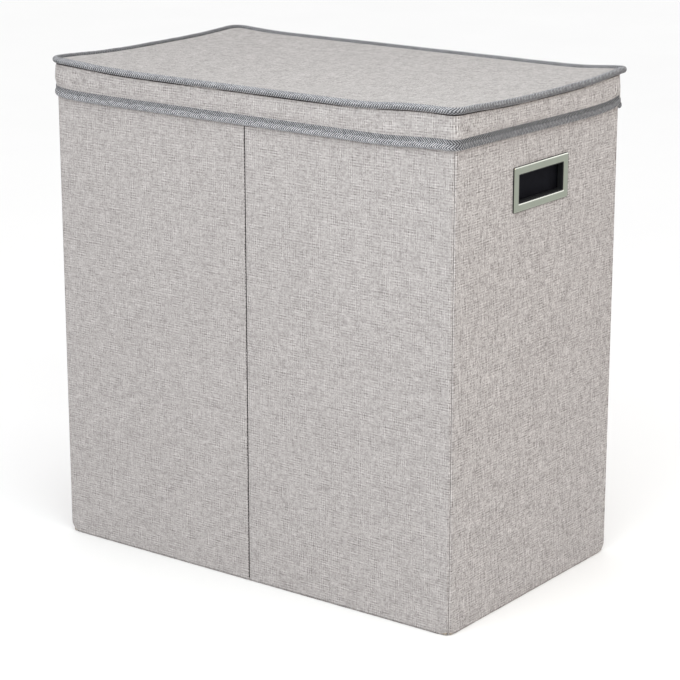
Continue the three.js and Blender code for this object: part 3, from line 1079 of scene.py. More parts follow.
    def bottom(self) -> None:
        """Makes the bottom cloth, with its edge turned in above the floor."""
        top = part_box("bottom_cloth")[1].z
        profile = [(-inset * MM, self.base + share * top) for inset, share in self.bottom_profile]
        around = rings(self.outline, self.outline.walk(0, STATIONS, 12 * MM)[:-1], profile)
        sections = self.soften(around.swapaxes(0, 1))
        sections[..., 2] = np.maximum(sections[..., 2], self.base)
        piece = sweep("bottom_panel", sections, False)
        numbers = [loop.vertex_index for loop in piece.data.loops]
        maps = sections.reshape(-1, 3)[numbers][:, :2]
        piece.data.uv_layers[0].uv.foreach_set("vector", maps.astype(np.float32).ravel())
        dress(piece, self.finishes.linen, "linen_cloth", "box", "bottom_cloth")
        2 * self.outline.half_x
        2 * self.outline.half_y

    def build(self) -> None:
        """Makes every panel and seam."""
        panels = ("front_left", "front_right", "right_end", "back_right", "back_left", "left_end")
        seams = ("front_left", "front_middle", "front_right", "back_right", "back_middle", "back_left")
        starts = (0.5, 1.5, 2.5, 4.5, 5.5, 6.5, 8.5)
        for seed, name in enumerate(panels):
            self.panel(name, starts[seed], starts[seed + 1], seed)
        for name, station in zip(seams, starts):
            self.seam(name, station)
        self.bottom()
        for name in (*panels, "divider"):
            repaint(f"{name}_board", self.finishes.board)


def plate(name: str, outline: Outline, height: Callable[[Points, np.ndarray], np.ndarray],
          thickness: float, step: float = 9 * MM) -> Piece:
    """Makes a nearly level sheet with round corners, from the height of its upper face.

    Args:
        name: The piece's name.
        outline: Its plan.
        height: Gives the upper face's height from places and their insets from the edge.
        thickness: How thick it is, measured downward.
        step: The usual distance between its points.

    Returns:
        The object.
    """
    edge = np.array([0, 0.6, 1.3, 2.2, 3.4, 5, 7, 9.5, 12.5, 16, 20, 25, 31]) * MM

    def graded(half: float) -> np.ndarray:
        """Coordinates across the sheet, close together near both edges."""
        count = math.ceil(2 * (half - edge[-1]) / step)
        middle = np.linspace(edge[-1] - half, half - edge[-1], count + 1)
        return np.concatenate([edge[:-1] - half, middle, half - edge[:-1][::-1]])

    halves = np.array([outline.half_x, outline.half_y])
    xs, ys = map(graded, halves)
    flat = np.stack(np.meshgrid(xs, ys), -1)
    place = flat.copy()
    for radius, signs in zip(outline.radii, CORNER_SIDES):
        middle = halves - radius
        share = (flat * signs - middle) / radius
        inside = (share > 0).all(-1)
        share = share[inside]
        place[inside] = signs * (middle + radius * share * np.sqrt(1 - share[:, ::-1] ** 2 / 2))
    level = height(place, (halves - abs(flat)).min(-1))
    return cloth(name, np.dstack([place, level]), xs, ys, thickness)


@dataclass(frozen=True)
class CornerRise:
    """How far a soft edge rises at one corner, and how soon that dies away along each side."""

    height: float
    reach_x: float
    power_x: float
    reach_y: float
    power_y: float = 2.0

    def at(self, places: Points, corner: Points) -> np.ndarray:
        """The rise at places in plan, for a corner in plan."""
        x, y = np.moveaxis(abs(places - corner), -1, 0)
        fall = (x / self.reach_x) ** self.power_x + (y / self.reach_y) ** self.power_y
        return self.height * np.exp(-fall)


@dataclass(frozen=True)
class Crease:
    """A crease in the skirt, between two places given in mm from a station and above the floor."""

    station: float
    start: Pair
    end: Pair
    depth: float
    width: float
    ridge_share: float = 0.8
    ridge_away: float = 1.7
    ridge_width: float = 1.2

    def push(self, run: np.ndarray, level: np.ndarray) -> np.ndarray:
        """How far the cloth moves outward.

        Args:
            run: Distance along from the station.
            level: Height above the floor.

        Returns:
            The move at each place.
        """
        a, b = np.array(self.start) * MM, np.array(self.end) * MM
        size = np.linalg.norm(b - a)
        ahead = (b - a) / size
        along = ((run - a[0]) * ahead[0] + (level - a[1]) * ahead[1]) / size
        aside = ((level - a[1]) * ahead[0] - (run - a[0]) * ahead[1]) / self.width
        fade = ease(along, -0.25, 0.2) * (1 - ease(along, 0.8, 1.25))
        ridge = np.exp(-(((aside - self.ridge_away) / self.ridge_width) ** 2))
        return self.depth * fade * (self.ridge_share * ridge - np.exp(-(aside**2)))


@dataclass
class Lid:
    """The lid: a board between two cloths, a piped edge and a skirt with a bound hem."""

    finishes: Finishes
    piping_radius: float = 4.2 * MM
    roll_radius: float = 3.9 * MM
    roll_wobble: float = 0.12 * MM
    plan_radii: Four = (16 * MM, 11 * MM, 6.5 * MM, 16 * MM)
    skirt_radii: Four = (9 * MM, 8 * MM, 6.0 * MM, 9 * MM)
    rises: tuple[CornerRise, ...] = (
        CornerRise(5.5 * MM, 75 * MM, 2.0, 80 * MM),
        CornerRise(5.5 * MM, 100 * MM, 4.0, 85 * MM),
        CornerRise(4.8 * MM, 45 * MM, 2.0, 60 * MM),
        CornerRise(3.2 * MM, 45 * MM, 2.0, 60 * MM),
    )
    hem_rises: tuple[CornerRise, ...] = (
        CornerRise(6.0 * MM, 20 * MM, 1.0, 60 * MM),
        CornerRise(4.0 * MM, 70 * MM, 3.0, 200 * MM),
        CornerRise(7.5 * MM, 50 * MM, 2.0, 26 * MM, 1.2),
        CornerRise(1.5 * MM, 50 * MM, 2.0, 80 * MM),
    )
    creases: tuple[Crease, ...] = (
        Crease(1, (38, 601), (20, 583), 2.5 * MM, 2.8 * MM),
        Crease(1, (46, 596), (26, 574), 2.4 * MM, 2.8 * MM),
        Crease(1, (-4, 596), (4, 578), 1.5 * MM, 2.6 * MM),
        Crease(3, (-4, 596), (24, 577), 1.9 * MM, 4.0 * MM),
        Crease(4, (-16, 603), (-12, 573), 1.5 * MM, 3.5 * MM),
        Crease(1, (210, 600), (232, 588), 0.8 * MM, 6 * MM),
        Crease(2, (-60, 598), (-84, 582), 0.8 * MM, 6 * MM),
    )
    dip: float = 0.9 * MM
    hem_dip: float = 1.2 * MM
    crown: float = 1.9 * MM
    crown_reach: float = 3.0 * MM
    crown_wave: float = 0.25 * MM
    crown_waves: Waves = Waves(110 * MM, 41)
    roll_waves: Waves = Waves(50 * MM, 51)
    bulge_waves: Waves = Waves(90 * MM, 61)
    gather_waves: Waves = Waves(9 * MM, 67)
    edge_drop: float = 0.5 * MM
    skirt_thickness: float = 1.2 * MM
    skirt_outward: float = 3.85 * MM
    skirt_foot: float = 3.2 * MM
    skirt_head: float = 2.6 * MM
    bulge: float = 1.5 * MM
    bulge_from: float = 0.28
    bulge_rise: Pair = (0.22, 0.5)
    bulge_power: float = 0.8
    head_tuck: float = 0.5 * MM
    tuck_rise: Pair = (0.85, 1.0)
    gather: float = 0.34 * MM
    gather_rise: Pair = (0.35, 0.7)
    gather_fall: Pair = (0.78, 0.9)
    seam_drop: float = 5.1 * MM
    seam_width: float = 1.1 * MM
    seam_depth: float = 0.7 * MM
    cord_inset: float = 0.85 * MM
    cord_half: Pair = (0.55 * MM, 0.8 * MM)
    end_draw: float = 0.9 * MM
    end_reach: float = 14 * MM
    cloth_thickness: float = 1.0 * MM
    edge_outward: float = 1.7 * MM

    def __post_init__(self) -> None:
        """Reads the lid's size from the frame."""
        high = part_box("lid_piping")[1]
        reach = self.piping_radius
        self.plan = Outline(high.x - reach, high.y - reach, self.plan_radii)
        self.level = high.z - reach
        self.wall = box_plan(self.skirt_radii)
        self.hem_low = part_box("skirt_binding_front")[0].z

    def corners_lift(self, rises: Sequence[CornerRise], dip: float, places: Points) -> np.ndarray:
        """How far the corners lift places in plan, above a dip between them."""
        corners = np.array([self.plan.half_x, self.plan.half_y]) * CORNER_SIDES
        return sum(rise.at(places, corner) for rise, corner in zip(rises, corners)) - dip

    def lift(self, places: Points) -> np.ndarray:
        """How far the piped edge lies above its CAD height, at places in plan."""
        return self.corners_lift(self.rises, self.dip, places)

    def hem_lift(self, places: Points) -> np.ndarray:
        """How far the skirt's hem lies above its CAD height, at places in plan."""
        return self.corners_lift(self.hem_rises, self.hem_dip, places)

    def top_height(self, places: Points, inset: np.ndarray) -> np.ndarray:
        """The height of the top cloth's upper face, at places in plan and their insets."""
        wave = self.crown_wave * self.crown_waves.at(places) * ease(inset, 0, 30 * MM)
        crown = self.crown * (1 - np.exp(-inset / self.crown_reach)) + wave
        return self.level + self.lift(places) + (crown - self.edge_drop)

    def top(self) -> None:
        """Makes the top cloth."""
        wall = box_plan(self.plan_radii).moved(self.edge_outward)
        piece = plate("lid_top", wall, self.top_height, self.cloth_thickness)
        dress(piece, self.finishes.linen, "linen_cloth", "lid", "lid_top_cloth")
        2 * wall.half_x
        2 * wall.half_y

    def under(self) -> None:
        """Makes the cloth under the board."""
        low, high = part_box("lid_under_cloth")
        wall = self.wall.moved(self.edge_outward)
        piece = plate("lid_underside", wall, lambda _, inset: np.full(inset.shape, high.z), high.z - low.z)
        dress(piece, self.finishes.lining, "lining_cloth", "lid", "lid_under_cloth")
        2 * wall.half_x
        2 * wall.half_y

    def piping(self) -> None:
        """Makes the piped edge."""
        points, normals = self.plan.at(self.plan.walk(0, STATIONS, 5 * MM, 10)[:-1])
        turns = round_turns(16)
        wobble = self.roll_wobble * self.roll_waves.at(points)[:, None]
        reach = self.roll_radius + wobble * np.cos(2 * turns)
        heights = (self.level + self.lift(points))[:, None] + reach * np.sin(turns)
        sections = raised(points[:, None], normals[:, None], reach * np.cos(turns), heights)
        piece = sweep("lid_piping_roll", sections, True, 80)
        dress(piece, self.finishes.piping, "twill_tape", "lid", "lid_piping")

    def skirt_grid(self, stations: np.ndarray, shares: np.ndarray) -> Points:
        """The skirt's outer face.

        Args:
            stations: Where its columns are on the plan.
            shares: Where its rows are, 0 at the hem and 1 under the piping, one a row.

        Returns:
            The grid of points.
        """
        points, normals = self.wall.moved(self.skirt_outward).at(stations)
        along = lengths(points)
        edge = self.level + self.lift(points)
        foot = self.hem_low + self.skirt_foot + self.hem_lift(points)
        heights = foot + shares * (edge - self.skirt_head - foot)
        arch = np.sin(math.pi * shares) ** self.bulge_power
        swell = np.where(shares < self.bulge_from, 0, arch) * ease(shares, *self.bulge_rise)
        out = self.bulge * swell * (1 + 0.5 * self.bulge_waves.at(unrolled(along, heights, 2)))
        out -= self.head_tuck * ease(shares, *self.tuck_rise) + drawn_in(along, self.end_draw, self.end_reach)
        out -= self.seam_depth * np.exp(-(((edge - self.seam_drop - heights) / self.seam_width) ** 2))
        gathered = ease(shares, *self.gather_rise) * (1 - ease(shares, *self.gather_fall))
        out += self.gather * self.gather_waves.at(unrolled(along, heights, 0.25)) * gathered
        for crease in self.creases:
            out += crease.push(along - np.interp(crease.station, stations, along), heights) * swell
        return raised(points, normals, out, heights)

    def skirt(self) -> None:
        """Makes the skirt, in one length round the left end, the front and the right end."""
        shares = [*np.linspace(0, 0.24, 4), *np.linspace(0.3, 0.8, 11), 0.84, 0.87, *np.linspace(0.9, 1, 5)]
        grid = self.skirt_grid(self.wall.walk(-1, 4, 2 * MM, 12), np.array(shares)[:, None])
        along, up = lengths(grid[0]), grid[:, 0, 2]
        piece = cloth("lid_skirt", grid, along, up, self.skirt_thickness)
        dress(piece, self.finishes.linen, "linen_cloth", "lid",
              "lid_skirt_front", "lid_skirt_left", "lid_skirt_right")

    def seam(self) -> None:
        """Makes a dark cord along the seam under the piped edge, painted shadow for the dark line below the
        piping.
        """
        stations = self.wall.walk(-1, 4, 4 * MM, 12)
        points, normals = self.wall.moved(self.skirt_outward - self.cord_inset).at(stations)
        points = points - normals * drawn_in(lengths(points), self.end_draw, self.end_reach)[:, None]
        turns = round_turns(8)
        wide, tall = self.cord_half
        heights = (self.level + self.lift(points) - self.seam_drop)[:, None] + tall * np.sin(turns)
        sections = raised(points[:, None], normals[:, None], wide * np.cos(turns), heights)
        # Painted shadow: the dark cord stands in for the shade in the fold under the piping.
        dress(sweep("lid_piping_seam", sections, False, 80), self.finishes.shade, "twill_tape", "lid")

    def hem(self) -> None:
        """Makes the tape that binds the skirt's hem."""
        stations = self.wall.walk(-1, 4, 4 * MM, 12)
        piece = bound_hem("lid_skirt_binding", self.wall, stations, self.hem_low, self.skirt_outward,
                          self.skirt_thickness, self.hem_lift, self.end_draw, self.end_reach)
        dress(piece, self.finishes.binding, "twill_tape", "lid",
              "skirt_binding_front", "skirt_binding_left", "skirt_binding_right")

    def build(self) -> None:
        """Makes the lid's pieces."""
        repaint("lid_board", self.finishes.board)
        for make in (self.top, self.under, self.piping, self.skirt, self.seam, self.hem):
            make()


# The section of a folded tape in mm: outward from the cloth's outer face, then from its inner face,
# and upward from the fold.
BOUND_OUTER = ((0.25, 12.4), (0.8, 12.2), (0.95, 9.5), (0.95, 7.4), (1.5, 6.7), (2.2, 5.2), (2.35, 3.6),
               (2.0, 1.9), (1.2, 0.6), (-0.2, 0.0))
BOUND_INNER = ((-0.1, 0.6), (-0.7, 1.8), (-0.85, 4.0), (-0.85, 11.3), (-0.3, 11.4), (-0.12, 11.2),
               (-0.12, 3.6))
BOUND_LEAF = ((-0.4, 2.6), (0.1, 3.4), (0.15, 6.0))


def bound_hem(name: str, wall: Outline, stations: np.ndarray, foot: float, outward: float, thickness: float,
              lift: Callable[[Points], np.ndarray], draw: float = 0.0, reach: float = 1.0) -> Piece:
    """Makes a tape folded over the lower edge of a strip: a flat leaf outside over a round fold.

    Args:
        name: The piece's name.
        wall: The plan of the wall behind it.
        stations: Where its sections are.
        foot: The height of its lower edge.
        outward: How far out the strip's outer face lies.
        thickness: The strip's thickness.
        lift: How far each place of the plan is raised.
        draw: How far its ends are drawn in.
        reach: How far from its ends that starts.

    Returns:
        The object.
    """
    columns = []
    for face, part in ((outward, BOUND_OUTER), (outward - thickness, BOUND_INNER), (outward, BOUND_LEAF)):
        for out, up in part:
            points, normals = wall.moved(face + out * MM).at(stations)
            inward = drawn_in(lengths(points), draw, reach)
            columns.append(raised(points, normals, -inward, foot + up * MM + lift(points)))
    return sweep(name, np.stack(columns, 1), False, 60)


@dataclass
class Hinge:
    """The strip of cloth at the back, from the lid's piped edge down to the back panel."""

    finishes: Finishes
    thickness: float = 1.2 * MM
    outward: float = 2.8 * MM
    foot: float = 3.2 * MM
    head: float = 0.7 * MM
    bulge: float = 0.9 * MM
    bulge_power: float = 0.8
    waves: Waves = Waves(100 * MM, 71)
    lean: float = 1.2 * MM
    lean_rise: Pair = (0.4, 0.95)
    lift_rise: Pair = (0.3, 1.0)
    radii: Four = (5 * MM, 5 * MM, 4.5 * MM, 5 * MM)

    def build(self) -> None:
        """Makes the strip and its bound hem."""
        wall = box_plan(self.radii)
        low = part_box("hinge_strip_binding")[0].z
        stations = wall.walk(4, 7, 5 * MM, 10)
        points, normals = wall.moved(self.outward).at(stations)
        along = lengths(points)
        heights = np.linspace(low + self.foot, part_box("hinge_strip")[1].z + self.head, 15)
        level = heights[:, None]
        share = (level - heights[0]) / (heights[-1] - heights[0])
        arch = np.sin(math.pi * share) ** self.bulge_power
        out = self.bulge * self.waves.swells(unrolled(along, level, 2)) * arch
        out -= self.lean * ease(share, *self.lean_rise)
        rise = Lid(self.finishes).lift(points) * ease(share, *self.lift_rise)
        grid = raised(points, normals, out, level + rise)
        strip = cloth("back_hinge_strip", grid, along, heights, self.thickness)
        dress(strip, self.finishes.linen, "linen_cloth", "box", "hinge_strip")
        hem = bound_hem("back_hinge_binding", wall, stations, low, self.outward, self.thickness,
                        lambda places: np.zeros(len(places)))
        dress(hem, self.finishes.binding, "twill_tape", "box", "hinge_strip_binding")


@dataclass
class Rim:
    """The tape folded over the top of the walls and the divider."""

    finishes: Finishes
    outer: float = 1.0 * MM
    inner: float = -5.6 * MM
    leaf: float = 0.7 * MM
    depth: float = 10 * MM
    bend: float = 1.4 * MM
    head_room: float = 0.4 * MM
    divider_room: float = 0.9 * MM
    radius: float = 5 * MM

    def profile(self, near: float, far: float) -> Points:
        """The section of a folded tape.

        Args:
            near: Where its outer leaf's face is.
            far: Where its inner leaf's face is, less than near.

        Returns:
            Points as outward and upward, upward from the tape's top.
        """
        leaf, down, bend = self.leaf, self.depth, self.bend
        arc = np.radians((0, 30, 60, 90))
        head = [(near - bend + bend * math.cos(a), -bend + bend * math.sin(a)) for a in arc]
        tail = [(far + bend - bend * math.cos(a), -bend + bend * math.sin(a)) for a in arc[::-1]]
        room = -leaf - self.head_room
        return np.array([(near, -down), *head, *tail, (far, -down), (far + leaf, -down), (far + leaf, room),
                         (near - leaf, room), (near - leaf, -down)])

    def build(self) -> None:
        """Makes the tape."""
        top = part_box("rim_binding")[1].z
        wall = box_plan((self.radius,) * 4)
        profile = self.profile(self.outer, self.inner) + (0, top)
        loop = sweep("rim_tape", rings(wall, wall.walk(0, STATIONS, 10 * MM)[:-1], profile), True, 60)
        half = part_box("right_lining")[0].x + self.divider_room + self.leaf
        across = self.profile(half, -half) + (0, top)
        reach = wall.half_y + self.inner
        sections = np.array([[(x, y, z) for x, z in across] for y in np.linspace(-reach, reach, 60)])
        bar = sweep("rim_tape_bar", sections, False, 60)
        dress(join("rim_tape", [loop, bar]), self.finishes.braid, "twill_tape", "box", "rim_binding")


@dataclass
class HandHold:
    """One hand-hold: a metal frame outside and a black sleeve that clamps it from inside."""

    side: Side
    finishes: Finishes
    border: float = 9.8 * MM
    upright_share: float = 0.9
    hole_corner: float = 1.2 * MM
    short: float = 2.0 * MM
    corner: float = 1.6 * MM
    base_share: float = 0.72
    lip: float = 0.45 * MM
    inner_lip: float = 1.1 * MM
    sunk: float = 0.02 * MM
    bevel: Profile = ((0, 0.6), (0.15, 0.48), (1.0, 0.06), (1.25, 0), (1.5, 0))

    def ring(self, name: str, profile: Sequence[Pair]) -> Piece:
        """Makes a ring round the opening.

        Args:
            name: The piece's name.
            profile: Its section, as insets from the frame's outer edge and heights off the wall.

        Returns:
            The object.
        """
        low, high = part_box(f"{self.side.word}_handle_frame")
        face = low.x if self.side is Side.RIGHT else high.x
        plan = Outline(high.y - self.short, (high.z - low.z) / 2 - self.lip, (self.corner,) * 4)
        stations = plan.walk(0, STATIONS, 200 * MM, 6)[:-1]
        columns = []
        for inset, rise in profile:
            radius = max(self.corner - inset, self.hole_corner)
            inner = Outline(plan.half_x - inset, plan.half_y - inset * self.upright_share, (radius,) * 4)
            y, z = inner.at(stations)[0].T
            x = np.full(len(y), face + self.side.value * rise)
            columns.append(np.stack([x, y, (low.z + high.z) / 2 + z], 1))
        return sweep(name, np.stack(columns, 1), True, 40)

    def build(self) -> None:
        """Makes the metal frame on a black base, which is painted shade for the frame's dark sides and the
        dark line round its edges, and paints the sleeve.
        """
        word = self.side.word
        low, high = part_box(f"{word}_handle_frame")
        thick = high.x - low.x
        step = thick * self.base_share
        bevel = [(x * MM, thick - down * MM) for x, down in self.bevel]
        inner = [(self.border - x, h) for x, h in reversed(bevel)]
        metal = self.ring(f"{word}_hand_frame", [(0, step), *bevel, *inner, (self.border, step)])
        dress(metal, self.finishes.nickel, "satin_nickel", "box", f"{word}_handle_frame")
        # Painted shade: the black base fills the lower part of the frame's thickness and shows a thin lip
        # round it, standing in for the dark sides that face away from the light.
        brim, reach = step - self.sunk, self.border + self.inner_lip
        base = self.ring(f"{word}_hand_base", [(-self.lip, 0), (-self.lip, brim), (reach, brim), (reach, 0)])
        dress(base, self.finishes.plastic, "black_plastic", "box")
        repaint(f"{word}_handle_sleeve", self.finishes.plastic)


@dataclass
class Bin:
    """One bin: its lining, its loose floor board and the liner bag with its hem, loops and tapes.

    The numbers of the hem's profile are millimetres.
    """

    side: Side
    finishes: Finishes
    lining_thickness: float = 0.6 * MM
    lining_radius: float = 3 * MM
    lining_wave: float = 0.35 * MM
    opening_room: float = 0.4 * MM
    bag_thickness: float = 0.8 * MM
    bag_radius: float = 12 * MM
    bag_bend: float = 16 * MM
    sag: float = 1.6 * MM
    bag_shares: tuple[float, ...] = (0.004, 0.12, 0.25, 0.38, 0.5, 0.62, 0.73, 0.82, 0.9, 0.95)
    fold: float = 6.0 * MM
    fold_share: float = 0.55
    fold_power: float = 1.4
    fold_left: float = 0.08
    hem_radius: float = 11 * MM
    hem_profile: Profile = (
        (0.2, 0.0), (0.0, 0.6), (0.0, 15.4), (0.25, 15.9), (0.6, 16.05), (0.9, 15.8), (1.05, 15.0),
        (1.15, 8.0), (1.05, 1.0), (0.8, 0.1)
    )
    hem_rows: Pair = (2.2 * MM, 13.2 * MM)
    stitch_inset: float = 1.1 * MM
    webbing: float = 1.6 * MM
    webbing_width: float = 25 * MM
    webbing_edge: float = 0.7 * MM
    gap: float = 50 * MM
    bow: float = 9 * MM
    pucker: float = 2.2 * MM

    def __post_init__(self) -> None:
        """Keeps the side's name at hand."""
        self.word = self.side.word

    def waves(self, length: float, seed: int) -> Waves:
        """A set of soft waves, another one on each side."""
        return Waves(length, seed + self.side.value)

    def tube(self, node: str, radius: float, step: float,
             stops: Sequence[float] = ()) -> tuple[Points, Outline, np.ndarray]:
        """The plan of a tube that fills a node's box.

        Args:
            node: The CAD node.
            radius: The radius of its corners.
            step: The distance between its points.
            stops: Extra stations.

        Returns:
            The centre, the outline round it and the stations.
        """
        low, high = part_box(node)
        plan = Outline((high.x - low.x) / 2, high.y, (radius,) * 4)
        stations = np.unique([*plan.walk(0, STATIONS, step, 5)[:-1], *stops])
        return np.array([(low.x + high.x) / 2, 0.0]), plan, stations

    def lining(self) -> None:
        """Makes the lining, with the hand-hold's opening."""
        node = f"{self.word}_lining"
        low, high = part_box(node)
        sleeve_low, sleeve_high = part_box(f"{self.word}_handle_sleeve")
        middle = 3.5 if self.side is Side.RIGHT else 7.5
        reach = (sleeve_high.y + self.opening_room) / (high.y - self.lining_radius) / 2
        sides = (middle - reach, middle + reach)
        levels = (sleeve_low.z - self.opening_room, sleeve_high.z + self.opening_room)
        centre, plan, stations = self.tube(node, self.lining_radius, 12 * MM, sides)
        heights = np.unique(np.round([*np.linspace(low.z, high.z, 52), *levels], 7))
        points, normals = plan.at(stations)
        loop, level = lengths(points, True), heights[:, None]
        inward = self.lining_wave * self.waves(200 * MM, 80).swells(unrolled(loop[:-1], level))
        grid = raised(centre + points, normals, -inward, level)
        piece = cloth(f"{self.word}_bin_lining", grid, loop, heights, self.lining_thickness, True,
                      (*nearest(heights, levels), *nearest(stations, sides)))
        dress(piece, self.finishes.lining, "lining_cloth", "box", node)
        repaint(f"{self.word}_floor_board", self.finishes.lining)

    def bag(self) -> None:
        """Makes the liner bag, a sagging shell with soft upright folds and a gathered bottom."""
        node = f"{self.word}_liner_bag"
        low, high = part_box(node)
        centre, plan, stations = self.tube(node, self.bag_radius, 9 * MM)
        points, normals = plan.at(stations)
        loop = lengths(points, True)
        shares = np.array(self.bag_shares)[:, None]
        flat = points * shares[..., None]
        sag = self.sag * self.waves(70 * MM, 90).swells(flat) * ease(shares, 0.1, 0.5)
        angles = np.radians((20, 40, 60, 80))[:, None]
        bend = self.bag_bend
        inset, rise = bend * (1 - np.sin(angles)), bend * (1 - np.cos(angles))
        heights = np.array([*np.linspace(low.z + bend, high.z - 30 * MM, 44),
                            *np.linspace(high.z - 24 * MM, high.z, 7)])[:, None]
        waves = self.waves(85 * MM, 95).at(unrolled(loop[:-1], heights, 0.22))
        folds = np.clip(1 - self.fold_share + self.fold_share * waves, 0, 1) ** self.fold_power
        calm = ease(heights, high.z - 170 * MM, high.z - 18 * MM)
        inward = self.fold * folds * (1 - (1 - self.fold_left) * calm)
        grid = np.concatenate([
            np.dstack([centre + flat, low.z + sag]),
            raised(centre + points, normals, -inset, low.z + rise),
            raised(centre + points, normals, -inward, heights),
        ])
        up = lengths(grid[:, len(points) // 3])
        piece = cloth(f"{self.word}_bag", grid, loop, up, self.bag_thickness, True)
        dress(piece, self.finishes.liner, "liner_cloth", "box", node)
        tall = high.z - low.z
        area = loop[-1] * tall + 4 * plan.half_x * plan.half_y
        float(tall + plan.half_x)

    def hem(self) -> None:
        """Makes the hem inside the bag's mouth and its stitches."""
        node = f"{self.word}_liner_hem"
        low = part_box(node)[0]
        centre, plan, stations = self.tube(node, self.hem_radius, 9 * MM)
        points, normals = plan.at(stations)
        points = centre + points
        insets, ups = np.array(self.hem_profile).T * MM
        sections = raised(points[:, None], normals[:, None], -insets, low.z + ups)
        piece = sweep(f"{self.word}_bag_hem", sections, True, 60)
        dress(piece, self.finishes.webbing, "webbing", "box", node)
        around = [*range(len(points)), 0]
        outward = np.pad(-normals, ((0, 0), (0, 1)))[around]
        lines = [raised(points, normals, -self.stitch_inset, low.z + up)[around] for up in self.hem_rows]
        rows = [Thread().sew(f"{self.word}_hem_row_{k}", line, outward) for k, line in enumerate(lines)]
        dress(join(f"{self.word}_hem_stitches", rows), self.finishes.thread, "webbing", "box")

    def loop(self, face: str) -> None:
        """Makes one carry loop of webbing, which hangs from the hem against the bag.

        Args:
            face: The wall on which it hangs, front or back.
        """
        node = f"{self.word}_liner_loop_{face}"
        low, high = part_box(node)
        out, wall = (1, high.y) if face == "back" else (-1, low.y)
        half = (self.gap + self.webbing_width) / 2
        turn = low.z + half + self.webbing_width / 2
        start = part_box(f"{self.word}_liner_hem")[1].z - 3 * MM
        path = [(-half, z) for z in np.linspace(start, turn, 12)]
        path += [(-half * math.cos(a), turn - half * math.sin(a)) for a in np.linspace(0, math.pi, 25)[1:-1]]
        path += [(half, z) for z in np.linspace(turn, start, 12)]
        path = np.array(path)
        along = lengths(path)[:, None]
        heading = np.gradient(path, axis=0)
        heading /= np.linalg.norm(heading, axis=1, keepdims=True)
        x, z = path[:, :1], path[:, 1:]
        over = ease(z, high.z - 2 * MM, high.z + 3 * MM) * 1.3 * MM
        bow = self.bow * (1 - ease(z, low.z + 20 * MM, high.z - 20 * MM))
        width = self.webbing_width / 2
        edge = 1 - self.webbing_edge / width
        aside, share = np.array([
            (-1, 0.4), (-edge, 0.05), (-0.5, 0), (0, 0), (0.5, 0), (edge, 0.05), (1, 0.4),
            (1, 0.7), (edge, 1), (0.5, 1), (0, 1), (-0.5, 1), (-edge, 1), (-1, 0.7),
        ]).T
        pucker = self.pucker * aside * np.sin(math.pi * along / along[-1]) ** 6
        off = over + bow * (1 - 0.25 * aside) + share * self.webbing + np.maximum(pucker, -bow * 0.5)
        sections = np.stack([(low.x + high.x) / 2 + x - heading[:, 1:] * width * aside, wall - out * off,
                             z + heading[:, :1] * width * aside], -1)
        piece = sweep(f"{self.word}_bag_loop_{face}", sections, False, 60)
        dress(piece, self.finishes.webbing, "webbing", "box", node)

    def tape(self, kind: str, face: str) -> None:
        """Makes one tape of a hook-and-loop pair between the bag and the lining.

        Args:
            kind: Which of the pair, hook or loop.
            face: The wall that it lies along, front or back.
        """
        node = f"{self.word}_{kind}_tape_{face}"
        low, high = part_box(node)
        middle, half = (low + high) / 2, (high - low) / 2
        ring = ((-1, -0.96), (-0.5, -1), (0.5, -1), (1, -0.96), (1, 0), (1, 0.96), (0.5, 1), (-0.5, 1),
                (-1, 0.96), (-1, 0))
        ends = (0.0, 0.4 * MM)
        xs = [*(low.x + e for e in ends), *np.linspace(low.x + 4 * MM, high.x - 4 * MM, 22),
              *(high.x - e for e in reversed(ends))]
        wide = np.where(np.isin(xs, (xs[0], xs[-1])), 0.6, 1.0)
        tall = 1 - (1 - wide) * 0.03
        sections = [[(x, middle.y + a * half.y * w, middle.z + b * half.z * t) for a, b in ring]
                    for x, w, t in zip(xs, wide, tall)]
        piece = sweep(f"{self.word}_{kind}_strip_{face}", np.array(sections), False, 60)
        dress(piece, self.finishes.webbing, "webbing", "box", node)

    def build(self) -> None:
        """Makes the bin's pieces."""
        self.lining()
        self.bag()
        self.hem()
        for face in ("front", "back"):
            self.loop(face)
        for kind in ("hook", "loop"):
            for face in ("front", "back"):
                self.tape(kind, face)


@dataclass(frozen=True)
class Lamp:
    """A square soft light that faces the object: where it hangs in degrees and metres, its size and watts."""

    name: str
    azimuth: float
    elevation: float
    away: float
    size: float
    power: float
    colour: tuple[float, float, float] = (1, 1, 1)


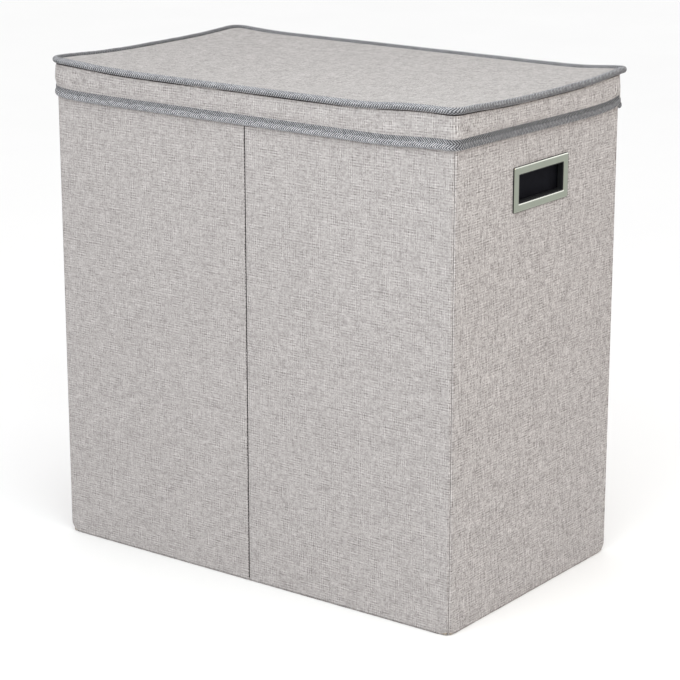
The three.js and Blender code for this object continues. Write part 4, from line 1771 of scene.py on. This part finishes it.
@dataclass
class Studio:
    """The pale floor, the soft lights and the camera at the photograph's viewing angle."""

    azimuth: float = 36.74
    elevation: float = 15.87
    distance: float = 2.9293
    lens: float = 124.33
    sensor: float = 36.0
    sight: float = 200.0
    target: tuple[float, float, float] = (8.28 * MM, 0.0, 267.31 * MM)
    lamps_target: tuple[float, float, float] = (0.0, 0.0, 0.3)
    floor_half: float = 40.0
    sky: float = 1.0
    lamps: tuple[Lamp, ...] = (
        Lamp("key_light", 12, 39, 1.4, 0.8, 4.7),
        Lamp("corner_light", 55, 46, 1.3, 0.8, 3.5, (0.85, 1, 1)),
        Lamp("right_light", 85, 25, 1.5, 0.8, 1.6, (1, 0.5, 0.15)),
        Lamp("back_light", 160, 36, 1.6, 0.7, 1.0),
    )

    def toward(self, azimuth: float, elevation: float) -> Vector:
        """The direction from the object to a place so far round it and so high, in degrees."""
        a, e = math.radians(azimuth), math.radians(elevation)
        return Vector((math.sin(a) * math.cos(e), -math.cos(a) * math.cos(e), math.sin(e)))

    def hang(self, lamp: Lamp) -> None:
        """Hangs a lamp.

        Args:
            lamp: The lamp.
        """
        data = bpy.data.lights.new(lamp.name, "AREA")
        data.size, data.energy, data.color = lamp.size, lamp.power, lamp.colour
        hung = bpy.data.objects.new(lamp.name, data)
        back = self.toward(lamp.azimuth, lamp.elevation)
        hung.location = Vector(self.lamps_target) + back * lamp.away
        hung.rotation_euler = back.to_track_quat("Z", "Y").to_euler()
        bpy.context.scene.collection.objects.link(hung)

    def floor(self) -> None:
        """Lays the floor."""
        corners = np.array([(*signs, 0) for signs in CORNER_SIDES]) * self.floor_half
        piece = make_object("studio_floor", corners, [[0, 1, 2, 3]], corners[:, :2])
        bench = Bench("pale_floor")
        mottle = bench.noise(bench.place(), 3.0, 2.0)
        bench.set(Base_Color=bench.tint(mottle, shown(249, 249, 249), shown(253, 253, 253)), Roughness=0.9,
                  Specular_IOR_Level=0.1)
        piece.data.materials.append(bench.material)

    def build(self) -> None:
        """Sets the camera, the lights, the world and the floor."""
        scene = bpy.context.scene
        camera = bpy.data.cameras.new("camera")
        camera.lens, camera.sensor_width, camera.clip_end = self.lens, self.sensor, self.sight
        eye = bpy.data.objects.new("camera", camera)
        back = self.toward(self.azimuth, self.elevation)
        eye.location = Vector(self.target) + back * self.distance
        eye.rotation_mode = "QUATERNION"
        eye.rotation_quaternion = (-back).to_track_quat("-Z", "Y")
        scene.collection.objects.link(eye)
        scene.camera = eye
        self.floor()
        for lamp in self.lamps:
            self.hang(lamp)
        world = bpy.data.worlds.new("studio")
        world.use_nodes = True
        glow = world.node_tree.nodes["Background"]
        glow.inputs["Color"].default_value = (1, 1, 1, 1)
        glow.inputs["Strength"].default_value = self.sky
        scene.world = world
        scene.view_settings.view_transform = "Standard"


def main() -> None:
    """Builds the hamper's dress piece by piece, then the studio round it."""
    logging.basicConfig(level=logging.INFO, format="%(name)s: %(message)s")
    finishes = Finishes()
    Walls(finishes).build()
    for side in Side:
        HandHold(side, finishes).build()
        Bin(side, finishes).build()
    Rim(finishes).build()
    Hinge(finishes).build()
    Lid(finishes).build()
    Studio().build()


if __name__ == "__main__":
    main()
